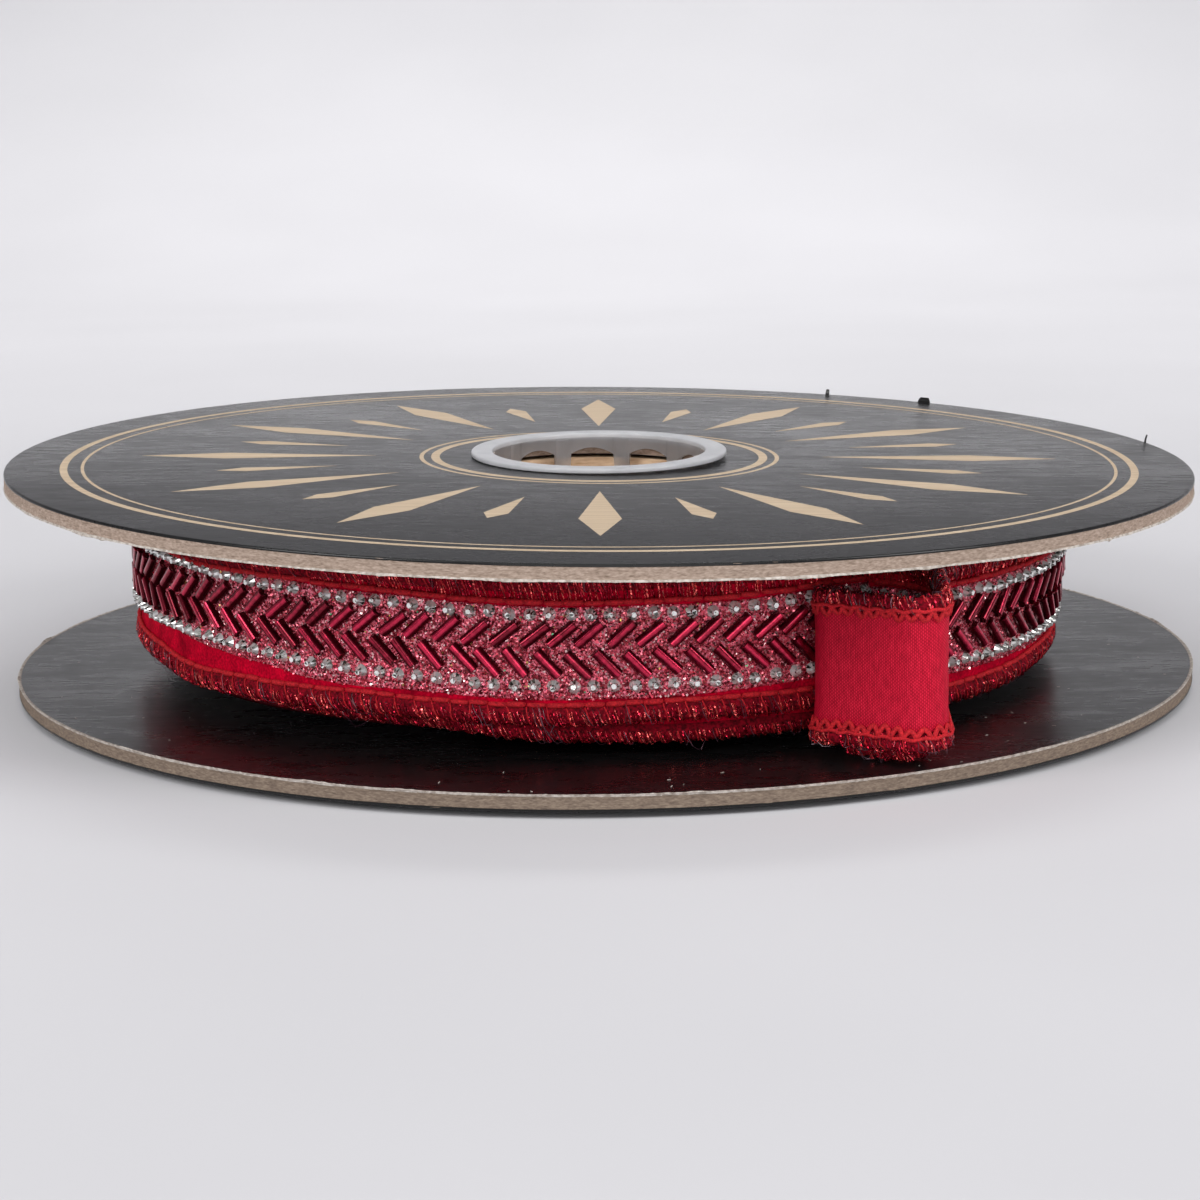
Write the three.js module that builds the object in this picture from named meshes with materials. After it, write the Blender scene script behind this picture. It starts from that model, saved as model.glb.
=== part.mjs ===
// A roll of beaded ribbon trim on its reel, in millimetres, +Z up.
// The reel stands on the flat ring of its lower hub plug, at z = 0, with its axis through x = 0, y = 0.
// It has two faced greyboard flanges, a kraft core tube and two snap-in hub plugs. The wound ribbon is
// one solid, and the ribbon's loose end curls off it into a small flattened scroll at the front.
import * as THREE from "three";

// Driving sizes, in millimetres and degrees.
const SEAT = 0.3; // clearance between two pieces that touch on the real reel
const FLANGE = { radius: 110, thick: 2.8, hole: 21.6, rim: 0.45, steps: 96 };
const PLUG = {
  ring: 24, // radius of the flat ring
  bore: 20, // radius of the hub's hole
  wall: 1.0,
  thick: 0.8,
  edge: 0.25,
  legs: 11,
  legHalf: 4.1, // half a leg's width, degrees
  slit: 0.3, // degrees from a leg's side to the skirt beside it
  legDrop: 8.0,
  archDrop: 2.0, // skirt under the ring, at the crown of an arch
  archRise: 1.3, // how much deeper the skirt is beside a leg
  firstLeg: 4, // degrees round from the front
};
const CORE = { bore: 22.2, outer: 25.4, x: -0.45, y: -0.6, steps: 60 };
const GAP = 33.95; // height between the flanges, at the axis
const TOP = { x: -0.7, y: -0.9, fallToRight: 0.977, riseToBack: 0.21 }; // how the upper flange sits, degrees
const TOP_PLUG = { lift: 0.9, fallToRight: 0.35, riseToBack: 0.83 }; // the upper plug sits proud and more level than its flange

// The ribbon, one inch wide, and how it is wound.
const RIBBON = { width: 25.0, pitch: 2.4, back: 86.4, end: 30.0, x: -0.5, y: -0.5 };
const WOUND = { bore: 25.9, core: 50, low: 7.2, wander: 0.35, steps: 112, cut: 0.15 };
// Edge and band heights along the ribbon: turned is the angle back from the end of the winding,
// low is the lower edge and band is the middle of the beaded band, both above the base.
const WINDING = [
  { turned: 0, low: 10.1, band: 23.4 },
  { turned: 20, low: 9.6, band: 22.1 },
  { turned: 35, low: 9.1, band: 21.9 },
  { turned: 58, low: 10.1, band: 23.2 },
  { turned: 72, low: 9.6, band: 24.0 },
  { turned: 84, low: 9.2, band: 24.5 },
  { turned: 97, low: 10.6, band: 24.5 },
  { turned: 130, low: 11.0, band: 24.2 },
  { turned: 180, low: 9.6, band: 22.9 },
  { turned: 240, low: 8.4, band: 21.2 },
  { turned: 300, low: 7.6, band: 19.9 },
  { turned: 320, low: 7.4, band: 19.3 },
  { turned: 336, low: 6.5, band: 19.4 },
  { turned: 368, low: 6.5, band: 19.3 },
  { turned: 382, low: 6.2, band: 19.1 },
  { turned: 396, low: 6.7, band: 19.6 },
  { turned: 412, low: 8.2, band: 21.0 },
  { turned: 445, low: 8.8, band: 21.8 },
  { turned: 500, low: 9.4, band: 22.1 },
  { turned: 600, low: 7.8, band: 20.6 },
  { turned: 720, low: 7.2, band: 20.0 },
];

// The ribbon's cross-section. out is the height off the plain back, towards the beads. The first table
// runs up from the lower edge, and the last runs up to the upper edge: both overlocked edges are thick.
const LOW_EDGE = [
  { out: 0.1, up: 0.5 },
  { out: 0.8, up: 0.0 },
  { out: 1.5, up: 0.5 },
  { out: 1.75, up: 1.6 },
  { out: 0.95, up: 3.3 },
];
const BAND = [
  { out: 1.0, up: -7.6 },
  { out: 2.0, up: -6.6 },
  { out: 2.2, up: 0.0 },
  { out: 2.0, up: 6.4 },
  { out: 1.0, up: 7.3 },
];
const HIGH_EDGE = LOW_EDGE.map(({ out, up }) => ({ out, up: -up })).reverse();
const BACK_EDGE = [
  { out: -0.3, up: 1.3 },
  { out: 0.0, up: 2.9 },
];

// The loose end's path in plan, from the winding's end: each leg has a length and a turn, in degrees,
// clockwise from above, and low is the ribbon's lower edge where the leg ends.
const END_START = { turned: -0.4, clear: 0.2, low: 10.0 };
const END_LEGS = [
  { name: "lift", length: 16.4, turn: 120.4, low: 8.6, steps: 10 },
  { name: "outer side", length: 10.4, turn: 0, low: 7.2, steps: 2 },
  { name: "outer corner", length: 10.2, turn: 122, low: 6.7, steps: 9 },
  { name: "front", length: 13.4, turn: 0, low: 6.6, steps: 2 },
  { name: "inner corner", length: 13.5, turn: 180, low: 5.3, steps: 12 },
  { name: "rear", length: 10.9, turn: 0, low: 5.0, steps: 2 },
  { name: "inner turn", length: 9.7, turn: 180, low: 4.6, steps: 10 },
  { name: "tail", length: 8.6, turn: 0, low: 4.5, steps: 2 },
];

const FULL = 360;
const rad = THREE.MathUtils.degToRad;
const cardBottom = PLUG.thick + SEAT;
const cardTop = cardBottom + FLANGE.thick;
const topFlangeUnder = cardTop + GAP;

// Value of one column of a table at a place, eased between its rows.
function column(table, key, value, place) {
  const last = table.length - 1;
  if (place <= table[0][key]) return table[0][value];
  if (place >= table[last][key]) return table[last][value];
  const i = table.findIndex((row) => row[key] > place);
  const [a, b] = [table[i - 1], table[i]];
  const t = THREE.MathUtils.smoothstep(place, a[key], b[key]);
  return THREE.MathUtils.lerp(a[value], b[value], t);
}

// Closed skin over rings of points. A loop joins the last ring to the first; otherwise both ends are
// capped, with the outline of the section in the plane that plan() gives. Faces point outwards.
function skin(rings, loop, plan) {
  const count = rings[0].length;
  const places = rings.flat().flatMap((p) => [p.x, p.y, p.z]);
  const faces = [];
  const spans = loop ? rings.length : rings.length - 1;
  for (let i = 0; i < spans; i += 1) {
    const near = i * count;
    const far = ((i + 1) % rings.length) * count;
    for (let j = 0; j < count; j += 1) {
      const k = (j + 1) % count;
      faces.push(near + j, far + j, far + k, near + j, far + k, near + k);
    }
  }
  if (!loop) {
    const offset = (rings.length - 1) * count;
    for (const [a, b, c] of THREE.ShapeUtils.triangulateShape(plan, [])) {
      faces.push(a, b, c, offset + a, offset + c, offset + b);
    }
  }
  const geometry = new THREE.BufferGeometry();
  geometry.setAttribute("position", new THREE.Float32BufferAttribute(places, 3));
  geometry.setIndex(faces);
  if (volume(geometry) < 0) {
    for (let i = 0; i < faces.length; i += 3) [faces[i], faces[i + 1]] = [faces[i + 1], faces[i]];
    geometry.setIndex(faces);
  }
  geometry.computeVertexNormals();
  return geometry;
}

function volume(geometry) {
  const place = geometry.getAttribute("position");
  const index = geometry.getIndex();
  const corner = [0, 1, 2].map(() => new THREE.Vector3());
  let sum = 0;
  for (let i = 0; i < index.count; i += 3) {
    corner.forEach((p, j) => p.fromBufferAttribute(place, index.getX(i + j)));
    sum += corner[0].dot(corner[1].clone().cross(corner[2]));
  }
  return sum;
}

// Closed ring about +Z: sectionAt gives the outline, as [radius, height] pairs, at each azimuth.
function wrap(azimuths, sectionAt) {
  const rings = azimuths.map((azimuth) => {
    const [s, c] = [Math.sin(rad(azimuth)), -Math.cos(rad(azimuth))];
    return sectionAt(azimuth).map(([r, z]) => new THREE.Vector3(r * s, r * c, z));
  });
  return skin(rings, true);
}

function evenAzimuths(steps) {
  return Array.from({ length: steps }, (_, i) => (i * FULL) / steps);
}

// Greyboard disc with a faced, softly rounded outer rim on the side that looks out of the reel.
function flange() {
  const { radius, thick, hole, rim, steps } = FLANGE;
  const outline = [
    [hole, 0],
    [radius - rim / 3, 0],
    [radius, rim / 3],
    [radius, thick - rim],
    [radius - rim / 3, thick - rim / 3],
    [radius - rim, thick],
    [hole, thick],
    [hole, 0],
  ].map(([r, z]) => new THREE.Vector2(r, z));
  return new THREE.LatheGeometry(outline, steps).rotateX(Math.PI / 2);
}

// Kraft tube that parts the flanges; its top is cut to the upper flange's slope.
function coreTube() {
  const slope = (x, y) => -x * Math.tan(rad(TOP.fallToRight)) + y * Math.tan(rad(TOP.riseToBack));
  const azimuths = evenAzimuths(CORE.steps);
  const rings = azimuths.map((azimuth) => {
    const [s, c] = [Math.sin(rad(azimuth)), -Math.cos(rad(azimuth))];
    const foot = cardTop + SEAT;
    const corner = (r, top) => {
      const [x, y] = [CORE.x + r * s, CORE.y + r * c];
      return new THREE.Vector3(x, y, top ? topFlangeUnder - SEAT + slope(x, y) : foot);
    };
    return [corner(CORE.bore, false), corner(CORE.outer, false), corner(CORE.outer, true), corner(CORE.bore, true)];
  });
  return skin(rings, true);
}

// Skirt depth under a plug's ring: straight legs, and arches between them.
function skirtDrop(azimuth) {
  const pitch = FULL / PLUG.legs;
  const along = THREE.MathUtils.euclideanModulo(azimuth - PLUG.firstLeg + pitch / 2, pitch) - pitch / 2;
  if (Math.abs(along) < PLUG.legHalf + PLUG.slit / 2) return PLUG.legDrop;
  const side = pitch / 2 - PLUG.legHalf - PLUG.slit;
  const fromCrown = (pitch / 2 - Math.abs(along)) / side;
  return PLUG.archDrop + PLUG.archRise * fromCrown ** 2;
}

// Snap-in hub plug: a flat ring with an arched, legged skirt under it. z = 0 is the ring's seat.
function hubPlug() {
  const pitch = FULL / PLUG.legs;
  const legSide = PLUG.legHalf + PLUG.slit;
  const arch = [0, 1, 2, 3, 4].map((i) => legSide + (i * (pitch - 2 * legSide)) / 4);
  const azimuths = Array.from({ length: PLUG.legs }, (_, i) => PLUG.firstLeg + i * pitch).flatMap((leg) =>
    [-PLUG.legHalf, PLUG.legHalf, ...arch].map((offset) => leg + offset),
  );
  const skirt = PLUG.bore + PLUG.wall;
  return wrap(azimuths, (azimuth) => [
    [PLUG.bore, -skirtDrop(azimuth)],
    [skirt, -skirtDrop(azimuth)],
    [skirt, 0],
    [PLUG.ring, 0],
    [PLUG.ring, PLUG.thick - PLUG.edge],
    [PLUG.ring - PLUG.edge, PLUG.thick],
    [PLUG.bore + PLUG.edge, PLUG.thick],
    [PLUG.bore, PLUG.thick - PLUG.edge],
  ]);
}

// The wound ribbon at one azimuth: the outer turn in full, the turn under it where its edges show, and
// the older turns behind, which wander a little up and down.
function woundSection(azimuth) {
  const turned = THREE.MathUtils.euclideanModulo(RIBBON.end - azimuth, FULL);
  const at = (value, place) => column(WINDING, "turned", value, place);
  const back = RIBBON.back - (RIBBON.pitch * turned) / FULL;
  const [low, band] = [at("low", turned), at("band", turned)];
  const under = at("low", turned + FULL);
  const [high, underHigh] = [low + RIBBON.width, under + RIBBON.width];
  const old = WOUND.low + WOUND.wander * Math.sin(rad(2 * azimuth));
  const point = (base) => ({ out, up }) => [back + out, base + up];
  return [
    [WOUND.bore, old + WOUND.wander],
    [WOUND.core, old],
    [back - 2 * RIBBON.pitch, Math.max(old, under + 0.5)],
    [back - RIBBON.pitch, under + 0.6],
    [back - 1.5, under],
    [back - 0.5, under + 0.4],
    [back - 0.2, under + 1.1],
    [back - 0.05, Math.max(low, under) + 1.5],
    ...LOW_EDGE.map(point(low)),
    ...BAND.map(point(band)),
    ...HIGH_EDGE.map(point(high)),
    [back - 0.05, Math.min(high, underHigh) - 1.5],
    [back - 0.2, underHigh - 1.1],
    [back - 1.5, underHigh],
    [back - RIBBON.pitch, underHigh - 0.6],
    [WOUND.core, old + RIBBON.width],
    [WOUND.bore, old + RIBBON.width - WOUND.wander],
  ];
}

function ribbonRoll() {
  const before = RIBBON.end - WOUND.cut;
  const after = RIBBON.end + WOUND.cut;
  const span = (FULL - 2 * WOUND.cut) / (WOUND.steps - 1);
  const azimuths = Array.from({ length: WOUND.steps }, (_, i) => after + i * span);
  azimuths[azimuths.length - 1] = before + FULL;
  return wrap(azimuths, woundSection);
}

// The loose end, walked leg by leg in plan. Its plain back is on the left of the way it runs.
function ribbonEnd() {
  const start = RIBBON.end - END_START.turned;
  const radius = RIBBON.back + END_START.clear;
  const here = {
    x: radius * Math.sin(rad(start)),
    y: -radius * Math.cos(rad(start)),
    heading: start,
    low: END_START.low,
  };
  const stations = [{ ...here }];
  for (const leg of END_LEGS) {
    const from = here.low;
    for (let i = 1; i <= leg.steps; i += 1) {
      const step = leg.length / leg.steps;
      here.heading -= leg.turn / leg.steps / 2;
      here.x += step * Math.cos(rad(here.heading));
      here.y += step * Math.sin(rad(here.heading));
      here.heading -= leg.turn / leg.steps / 2;
      here.low = THREE.MathUtils.lerp(from, leg.low, i / leg.steps);
      stations.push({ ...here });
    }
  }
  const middle = RIBBON.width / 2;
  const lift = (table, base) => table.map(({ out, up }) => ({ out, up: base + up }));
  const turnedOver = BACK_EDGE.map(({ out, up }) => ({ out, up: -up })).reverse();
  const outline = [
    ...lift(LOW_EDGE, 0),
    ...lift(BAND, middle),
    ...lift(HIGH_EDGE, RIBBON.width),
    ...lift(turnedOver, RIBBON.width).reverse(),
    ...lift(BACK_EDGE, 0).reverse(),
  ];
  const rings = stations.map(({ x, y, heading, low }) =>
    outline.map(({ out, up }) => {
      const [right, ahead] = [Math.sin(rad(heading)), -Math.cos(rad(heading))];
      return new THREE.Vector3(x + out * right, y + out * ahead, low + up);
    }),
  );
  const plan = outline.map(({ out, up }) => new THREE.Vector2(out, up));
  return skin(rings, false, plan);
}

function finish(color, roughness, metalness = 0) {
  return new THREE.MeshStandardMaterial({ color, roughness, metalness });
}

function piece(name, geometry, material) {
  const mesh = new THREE.Mesh(geometry, material);
  mesh.name = name;
  return mesh;
}

const charcoalBoard = () => finish(0x3a3b3f, 0.4);
const clearWhitePlastic = () => finish(0xd9dadd, 0.35);

const reel = new THREE.Group();

const bottomFlange = piece("bottom_flange", flange(), charcoalBoard());
bottomFlange.rotation.x = Math.PI;
bottomFlange.position.z = cardTop;

const bottomPlug = piece("bottom_hub_plug", hubPlug(), clearWhitePlastic());
bottomPlug.rotation.x = Math.PI;
bottomPlug.position.z = PLUG.thick;

const topFlange = piece("top_flange", flange(), charcoalBoard());
topFlange.rotation.set(rad(TOP.riseToBack), rad(TOP.fallToRight), 0);
topFlange.position.set(TOP.x, TOP.y, topFlangeUnder);

const topPlug = piece("top_hub_plug", hubPlug(), clearWhitePlastic());
topPlug.rotation.set(rad(TOP_PLUG.riseToBack), rad(TOP_PLUG.fallToRight), 0);
topPlug.position.set(TOP.x, TOP.y, topFlangeUnder + FLANGE.thick + TOP_PLUG.lift);

const core = piece("core_tube", coreTube(), finish(0xa98d6b, 0.9));

const winding = new THREE.Group();
winding.position.set(RIBBON.x, RIBBON.y, 0);
winding.add(piece("ribbon_roll", ribbonRoll(), finish(0x9c1428, 0.6)));
winding.add(piece("ribbon_end", ribbonEnd(), finish(0xc01a2e, 0.75)));

reel.add(bottomFlange, bottomPlug, topFlange, topPlug, core, winding);

export default reel;
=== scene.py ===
"""A roll of beaded ribbon trim on its greyboard reel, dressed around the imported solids.

Lengths are named in millimetres and turned to metres when a mesh is made. s runs along the ribbon from
the end of the winding: up into the roll, and down to the cut end of the loose curl. w runs across it
from its lower edge, and h stands off its plain back, towards the beads.
"""

import math

import bpy
import numpy as np
from mathutils import Matrix, Vector


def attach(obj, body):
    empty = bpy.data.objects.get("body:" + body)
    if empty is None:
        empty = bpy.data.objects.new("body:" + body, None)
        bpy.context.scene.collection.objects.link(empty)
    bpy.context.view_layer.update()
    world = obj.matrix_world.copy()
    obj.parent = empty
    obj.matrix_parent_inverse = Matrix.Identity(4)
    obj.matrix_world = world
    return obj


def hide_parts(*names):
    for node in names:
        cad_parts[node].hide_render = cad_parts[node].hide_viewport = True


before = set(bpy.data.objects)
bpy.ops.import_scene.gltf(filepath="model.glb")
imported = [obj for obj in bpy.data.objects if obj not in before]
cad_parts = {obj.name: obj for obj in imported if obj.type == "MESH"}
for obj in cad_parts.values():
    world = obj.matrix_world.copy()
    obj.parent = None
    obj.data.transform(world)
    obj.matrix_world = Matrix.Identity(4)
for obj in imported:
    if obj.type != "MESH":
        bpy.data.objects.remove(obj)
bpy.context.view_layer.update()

MM = 0.001
FULL = 360.0

# The reel, as in the solids, in millimetres and degrees.
SEAT = 0.3
FLANGE = {"radius": 110.0, "thick": 2.8, "hole": 21.6, "lip": 0.5, "facing": 0.12}
PLUG = {"ring": 24.0, "bore": 20.0, "wall": 1.0, "thick": 0.8, "legs": 11, "leg_half": 4.1,
        "leg_drop": 8.0, "leg_proud": 0.35, "arch_drop": 2.0, "arch_rise": 1.3, "first_leg": 4.0}
CORE = {"bore": 22.2, "outer": 25.4, "x": -0.45, "y": -0.6}
GAP = 33.95
CARD_TOP = PLUG["thick"] + SEAT + FLANGE["thick"]
TOP = {"x": -0.7, "y": -0.9, "z": CARD_TOP + GAP, "fall_to_right": 0.977, "rise_to_back": 0.21}
TOP_PLUG = {"lift": 0.9, "fall_to_right": 0.35, "rise_to_back": 0.83}
BOW = {"top": 0.4, "bottom": 0.0}  # how far a flange stands up at its hole
FLANGE_STEPS = 360
RING_STEPS = 240
PRINTED_RINGS = ((98.6, 100.0), (95.6, 96.2), (33.0, 33.8), (30.0, 31.6))
PRINT_THICK = 0.02
WREATH = {"count": 24, "near": 42.0, "far": 86.0, "half": 3.6, "shorter_near": 8, "shorter_far": 14,
          "shorter_half": 0.6, "widest_beyond_middle": 6}
BURR = {"steps": 1300, "thick": 1.1, "reach": 0.5, "tufts": 42}
# A burr's outline: out from the rim, up from the inner face, and its share of the fibre's growth.
BURR_OUTLINE = ((-0.5, 0.02, 0), (-0.02, 0.3, 0), (0.03, 0.12, 0), (0.05, -0.1, 1), (-0.08, -0.2, 1),
                (-0.4, -0.04, 0.3))
SCRAPS = {"turn": (62.5, 50.0, 12.3), "half": (0.65, 2.2, 0.5), "tall": (1.1, 1.0, 1.5)}
DUST = {"count": 60, "nearest": 88.0, "half": 0.06}

# Ribbon and winding: the solids' own, but for the lower edge near the front, which follows the photograph.
WIDTH = 25.0
MIDDLE = WIDTH / 2
PITCH = 2.4
BACK = 86.4  # radius of the outer turn's back
END_AZIMUTH = 30.0
CENTRE = (-0.5, -0.5)
OLD_LOW = 7.2
OLD_WANDER = 0.35
OLD_BLEND = 90.0  # degrees over which the second turn's edge becomes an older one's
SHOWN_TURNS = 2
ALL_TURNS = 25
# turned is the angle back from the end of the winding, low the ribbon's lower edge and band the middle
# of the beaded band, above the base.
WINDING = np.array([
    (0, 10.4, 23.4), (20, 10.1, 22.1), (35, 9.5, 21.9), (58, 10.1, 23.2), (72, 9.6, 24.0),
    (84, 9.2, 24.5), (97, 10.6, 24.5), (130, 11.0, 24.2), (180, 9.6, 22.9), (240, 8.4, 21.2),
    (300, 7.6, 19.9), (320, 7.4, 19.3), (336, 6.4, 19.4), (368, 6.2, 19.3), (382, 5.9, 19.1),
    (396, 6.4, 19.6), (412, 8.2, 21.0), (445, 8.8, 21.8), (500, 9.4, 22.1), (600, 7.8, 20.6),
    (720, 7.2, 20.0)], dtype=[("turned", float), ("low", float), ("band", float)])
# The loose end's path in plan: a length, a clockwise turn in degrees and the lower edge at its end.
END_START_LOW = 10.0
END_LEGS = np.array([
    (16.4, 120.4, 8.6), (10.4, 0, 7.2), (10.2, 122, 6.7), (13.4, 0, 6.6),
    (13.5, 180, 5.3), (10.9, 0, 5.0), (9.7, 180, 4.6), (8.6, 0, 4.5)],
    dtype=[("length", float), ("turn", float), ("low", float)])
END_LENGTH = float(END_LEGS["length"].sum())
FLARE = {"lower": 0.9, "upper": 0.3}  # how far the loose end's edges curl away from its beads
# Around this azimuth the roll's wall leans in at its lower edge, and out above the pivot.
LEAN = {"azimuth": 85.0, "span": 45.0, "deep": 1.05, "pivot": 11.0, "top": 18.0}

# The ribbon's trimming, in millimetres.
CLOTH = 0.75
EDGE = {"wide": 1.7, "thick": 1.0, "line": 3.35, "centre": 0.75}
NEEDLE_UP = 7.9  # the upper needle line over the band's middle, where the edge leaves it room
STITCH = 3.15
GLITTER = {"top": 7.1, "wide": 15.4, "thick": 0.25}
# Where the glitter band's lower rim runs, below the band's middle.
GLITTER_LOW = np.array([
    (0, 7.7), (14, 7.7), (25, 8.1), (44, 8.3), (52, 8.5), (58, 8.9), (65, 8.8), (72, 8.0),
    (81, 7.8), (90, 6.9), (120, 7.6), (200, 8.3), (300, 7.9), (720, 7.9)],
    dtype=[("turned", float), ("down", float)])
STONE = {"radius": 1.1, "high": 0.95, "pitch": 3.27, "up": 5.85, "first": 1.2, "first_low": 0.8}
MISSING_STONE = 95.6
FLAKE = {"size": 0.3, "a_square": 7.5, "a_square_in_curl": 5.0, "tilt": 0.42}
# The overlocked edges: half sizes of the yarns, and how far they run along the ribbon.
TINSEL_YARN = {"a_stitch": 6, "half": (0.14, 0.23), "thick": 0.07, "run": 2.4, "bulge": 0.13, "twist": 0.5}
FILAMENT_YARN = {"a_stitch": 0.9, "half": 0.045, "run": 3.4, "stray": 0.05}
WRAP_THREAD = {"half": 0.14, "thick": 0.11, "run": 2.2}
NEEDLE_THREAD = {"half": 0.32, "swell": 0.18, "up": 1.0, "bow": 0.3}
WRAP = {True: np.linspace(-58, 215, 11), False: np.linspace(-10, 215, 9)}  # angles round an edge
LOOP = {"half": 0.44, "thick": 0.28, "deep": 2.35, "pitch": STITCH * 0.68}
BEAD = {"radius": 0.98, "long": 5.3, "hole": 0.42, "wall": 0.16, "pitch": 4.68, "axis": 1.25,
        "axis_in_curl": 1.75}
UPPER_BEAD = {"first": 6.56, "inner": 0.95, "outer": 4.2, "run": 3.85}
LOWER_BEAD = {"first": 4.28, "inner": -0.15, "outer": -4.1, "run": 3.8}


def eased(table, key, value, place):
    """One column of a table at the given places, eased between its rows."""
    place = np.asarray(place, float)
    i = np.clip(np.searchsorted(table[key], place, side="right") - 1, 0, len(table) - 2)
    a, b = table[i], table[i + 1]
    t = np.clip((place - a[key]) / (b[key] - a[key]), 0, 1)
    return a[value] + (b[value] - a[value]) * t * t * (3 - 2 * t)


def wander(place, seed, wavelength, count=4):
    """A smooth random line between about -1 and 1."""
    draw = np.random.default_rng(seed)
    place = np.asarray(place, float)
    total = np.zeros_like(place)
    for _ in range(count):
        wave, phase = wavelength * draw.uniform(0.6, 1.7), draw.uniform(0, 2 * math.pi)
        total += np.sin(2 * math.pi * place / wave + phase)
    return total / count


def lay_winding():
    """Rows of s, x, y, heading, low, band along the whole winding."""
    turned = np.arange(0, ALL_TURNS * FULL + 0.5, 0.5)
    radius = BACK - PITCH * turned / FULL
    s = np.concatenate([[0], np.cumsum(np.radians(np.diff(turned)) * (radius[1:] + radius[:-1]) / 2)])
    azimuth = END_AZIMUTH - turned
    x = CENTRE[0] + radius * np.sin(np.radians(azimuth))
    y = CENTRE[1] - radius * np.cos(np.radians(azimuth))
    low, band = (eased(WINDING, "turned", name, turned) for name in ("low", "band"))
    older = OLD_LOW + OLD_WANDER * (np.sin(np.radians(2 * azimuth)) + wander(turned, 3, 500))
    share = np.clip((turned - SHOWN_TURNS * FULL) / OLD_BLEND, 0, 1)
    low = low + (older - low) * share
    return np.stack([s, x, y, azimuth, low, band, turned], 1)


def lay_loose_end():
    """The same rows along the loose end, from the winding's end to the cut."""
    step = 0.1
    azimuth = END_AZIMUTH
    here = [CENTRE[0] + BACK * math.sin(math.radians(azimuth)),
            CENTRE[1] - BACK * math.cos(math.radians(azimuth))]
    heading, s, low = azimuth, 0.0, END_START_LOW
    rows = []
    for leg in END_LEGS:
        steps = int(round(leg["length"] / step))
        for i in range(steps):
            heading -= leg["turn"] / steps / 2
            here[0] += leg["length"] / steps * math.cos(math.radians(heading))
            here[1] += leg["length"] / steps * math.sin(math.radians(heading))
            heading -= leg["turn"] / steps / 2
            s -= leg["length"] / steps
            edge = low + (leg["low"] - low) * (i + 1) / steps
            rows.append((s, *here, heading, edge, edge + MIDDLE, 0.0))
        low = float(leg["low"])
    return np.array(rows[::-1])


LAY = np.concatenate([lay_loose_end(), lay_winding()])
TURN_ENDS = np.interp(np.arange(ALL_TURNS + 1) * FULL, LAY[LAY[:, 0] >= 0, 6], LAY[LAY[:, 0] >= 0, 0])


def lay(s):
    """Place and heading of the ribbon's back at s: x, y, heading in degrees, low, band, turned."""
    return [np.interp(s, LAY[:, 0], LAY[:, i]) for i in range(1, 7)]


def outward(s):
    """The level direction off the ribbon's back, towards the beads."""
    heading = np.radians(lay(s)[2])
    return np.stack([np.sin(heading), -np.cos(heading), np.zeros_like(heading)], -1)


def along(s):
    """The level direction in which s grows."""
    heading = np.radians(lay(s)[2])
    return np.stack([-np.cos(heading), -np.sin(heading), np.zeros_like(heading)], -1)


def on_ribbon(s, w, h):
    """Points in millimetres at s along, w across from the lower edge and h off the back."""
    s, w, h = np.broadcast_arrays(*(np.asarray(v, float) for v in (s, w, h)))
    x, y, heading, low, _, _ = lay(s)
    heading = np.radians(heading)
    loose = np.clip(-s / 9, 0, 1) * np.clip((END_LENGTH + s + 20) / 40, 0, 1)
    flare = np.where(w < MIDDLE, FLARE["lower"], FLARE["upper"])
    h = h - flare * loose * np.abs(w / MIDDLE - 1) ** 4
    away = (np.degrees(heading) - LEAN["azimuth"] + 180) % FULL - 180
    lean = LEAN["deep"] * np.exp(-(away / LEAN["span"]) ** 2) * (s > 0)
    h = h - lean * (1 - np.minimum(w, LEAN["top"]) / LEAN["pivot"])
    return np.stack([x + h * np.sin(heading), y - h * np.cos(heading), low + w], -1)


def across_band(s, up):
    """w of a height over the middle of the beaded band."""
    _, _, _, low, band, _ = lay(s)
    return band - low + up


# Mesh helpers.


def joined_mesh(name, points, *polygons, smooth=False, attributes=None, uv=None, groups=None):
    """One object from points in millimetres and arrays of polygons, each with its own corner count."""
    mesh = bpy.data.meshes.new(name)
    points = np.asarray(points, float).reshape(-1, 3)
    corners = np.concatenate([p.ravel() for p in polygons]).astype(np.int32)
    sizes = np.concatenate([np.full(len(p), p.shape[1]) for p in polygons])
    mesh.vertices.add(len(points))
    mesh.vertices.foreach_set("co", (points * MM).astype(np.float32).ravel())
    mesh.loops.add(len(corners))
    mesh.loops.foreach_set("vertex_index", corners)
    mesh.polygons.add(len(sizes))
    mesh.polygons.foreach_set("loop_start", np.concatenate([[0], np.cumsum(sizes)[:-1]]).astype(np.int32))
    mesh.polygons.foreach_set("use_smooth", np.full(len(sizes), smooth))
    if groups is not None:
        mesh.polygons.foreach_set("material_index", np.asarray(groups, np.int32))
    for label, values in (attributes or {}).items():
        layer = mesh.attributes.new(label, "FLOAT", "POINT")
        layer.data.foreach_set("value", np.asarray(values, np.float32))
    if uv is not None:
        layer = mesh.uv_layers.new(name="ribbon")
        layer.data.foreach_set("uv", np.asarray(uv, np.float32)[corners].ravel())
    mesh.update(calc_edges=True)
    mesh.validate(clean_customdata=False)
    made = bpy.data.objects.new(name, mesh)
    bpy.context.collection.objects.link(made)
    return made


def grid_faces(rows, columns, loop_rows=False, loop_columns=False):
    """Quads of a grid of points, rows by columns."""
    i = np.arange(rows if loop_rows else rows - 1)
    j = np.arange(columns if loop_columns else columns - 1)
    i, j = (v.ravel() for v in np.meshgrid(i, j, indexing="ij"))
    k, m = (i + 1) % rows, (j + 1) % columns
    return np.stack([i * columns + j, k * columns + j, k * columns + m, i * columns + m], 1)


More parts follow.
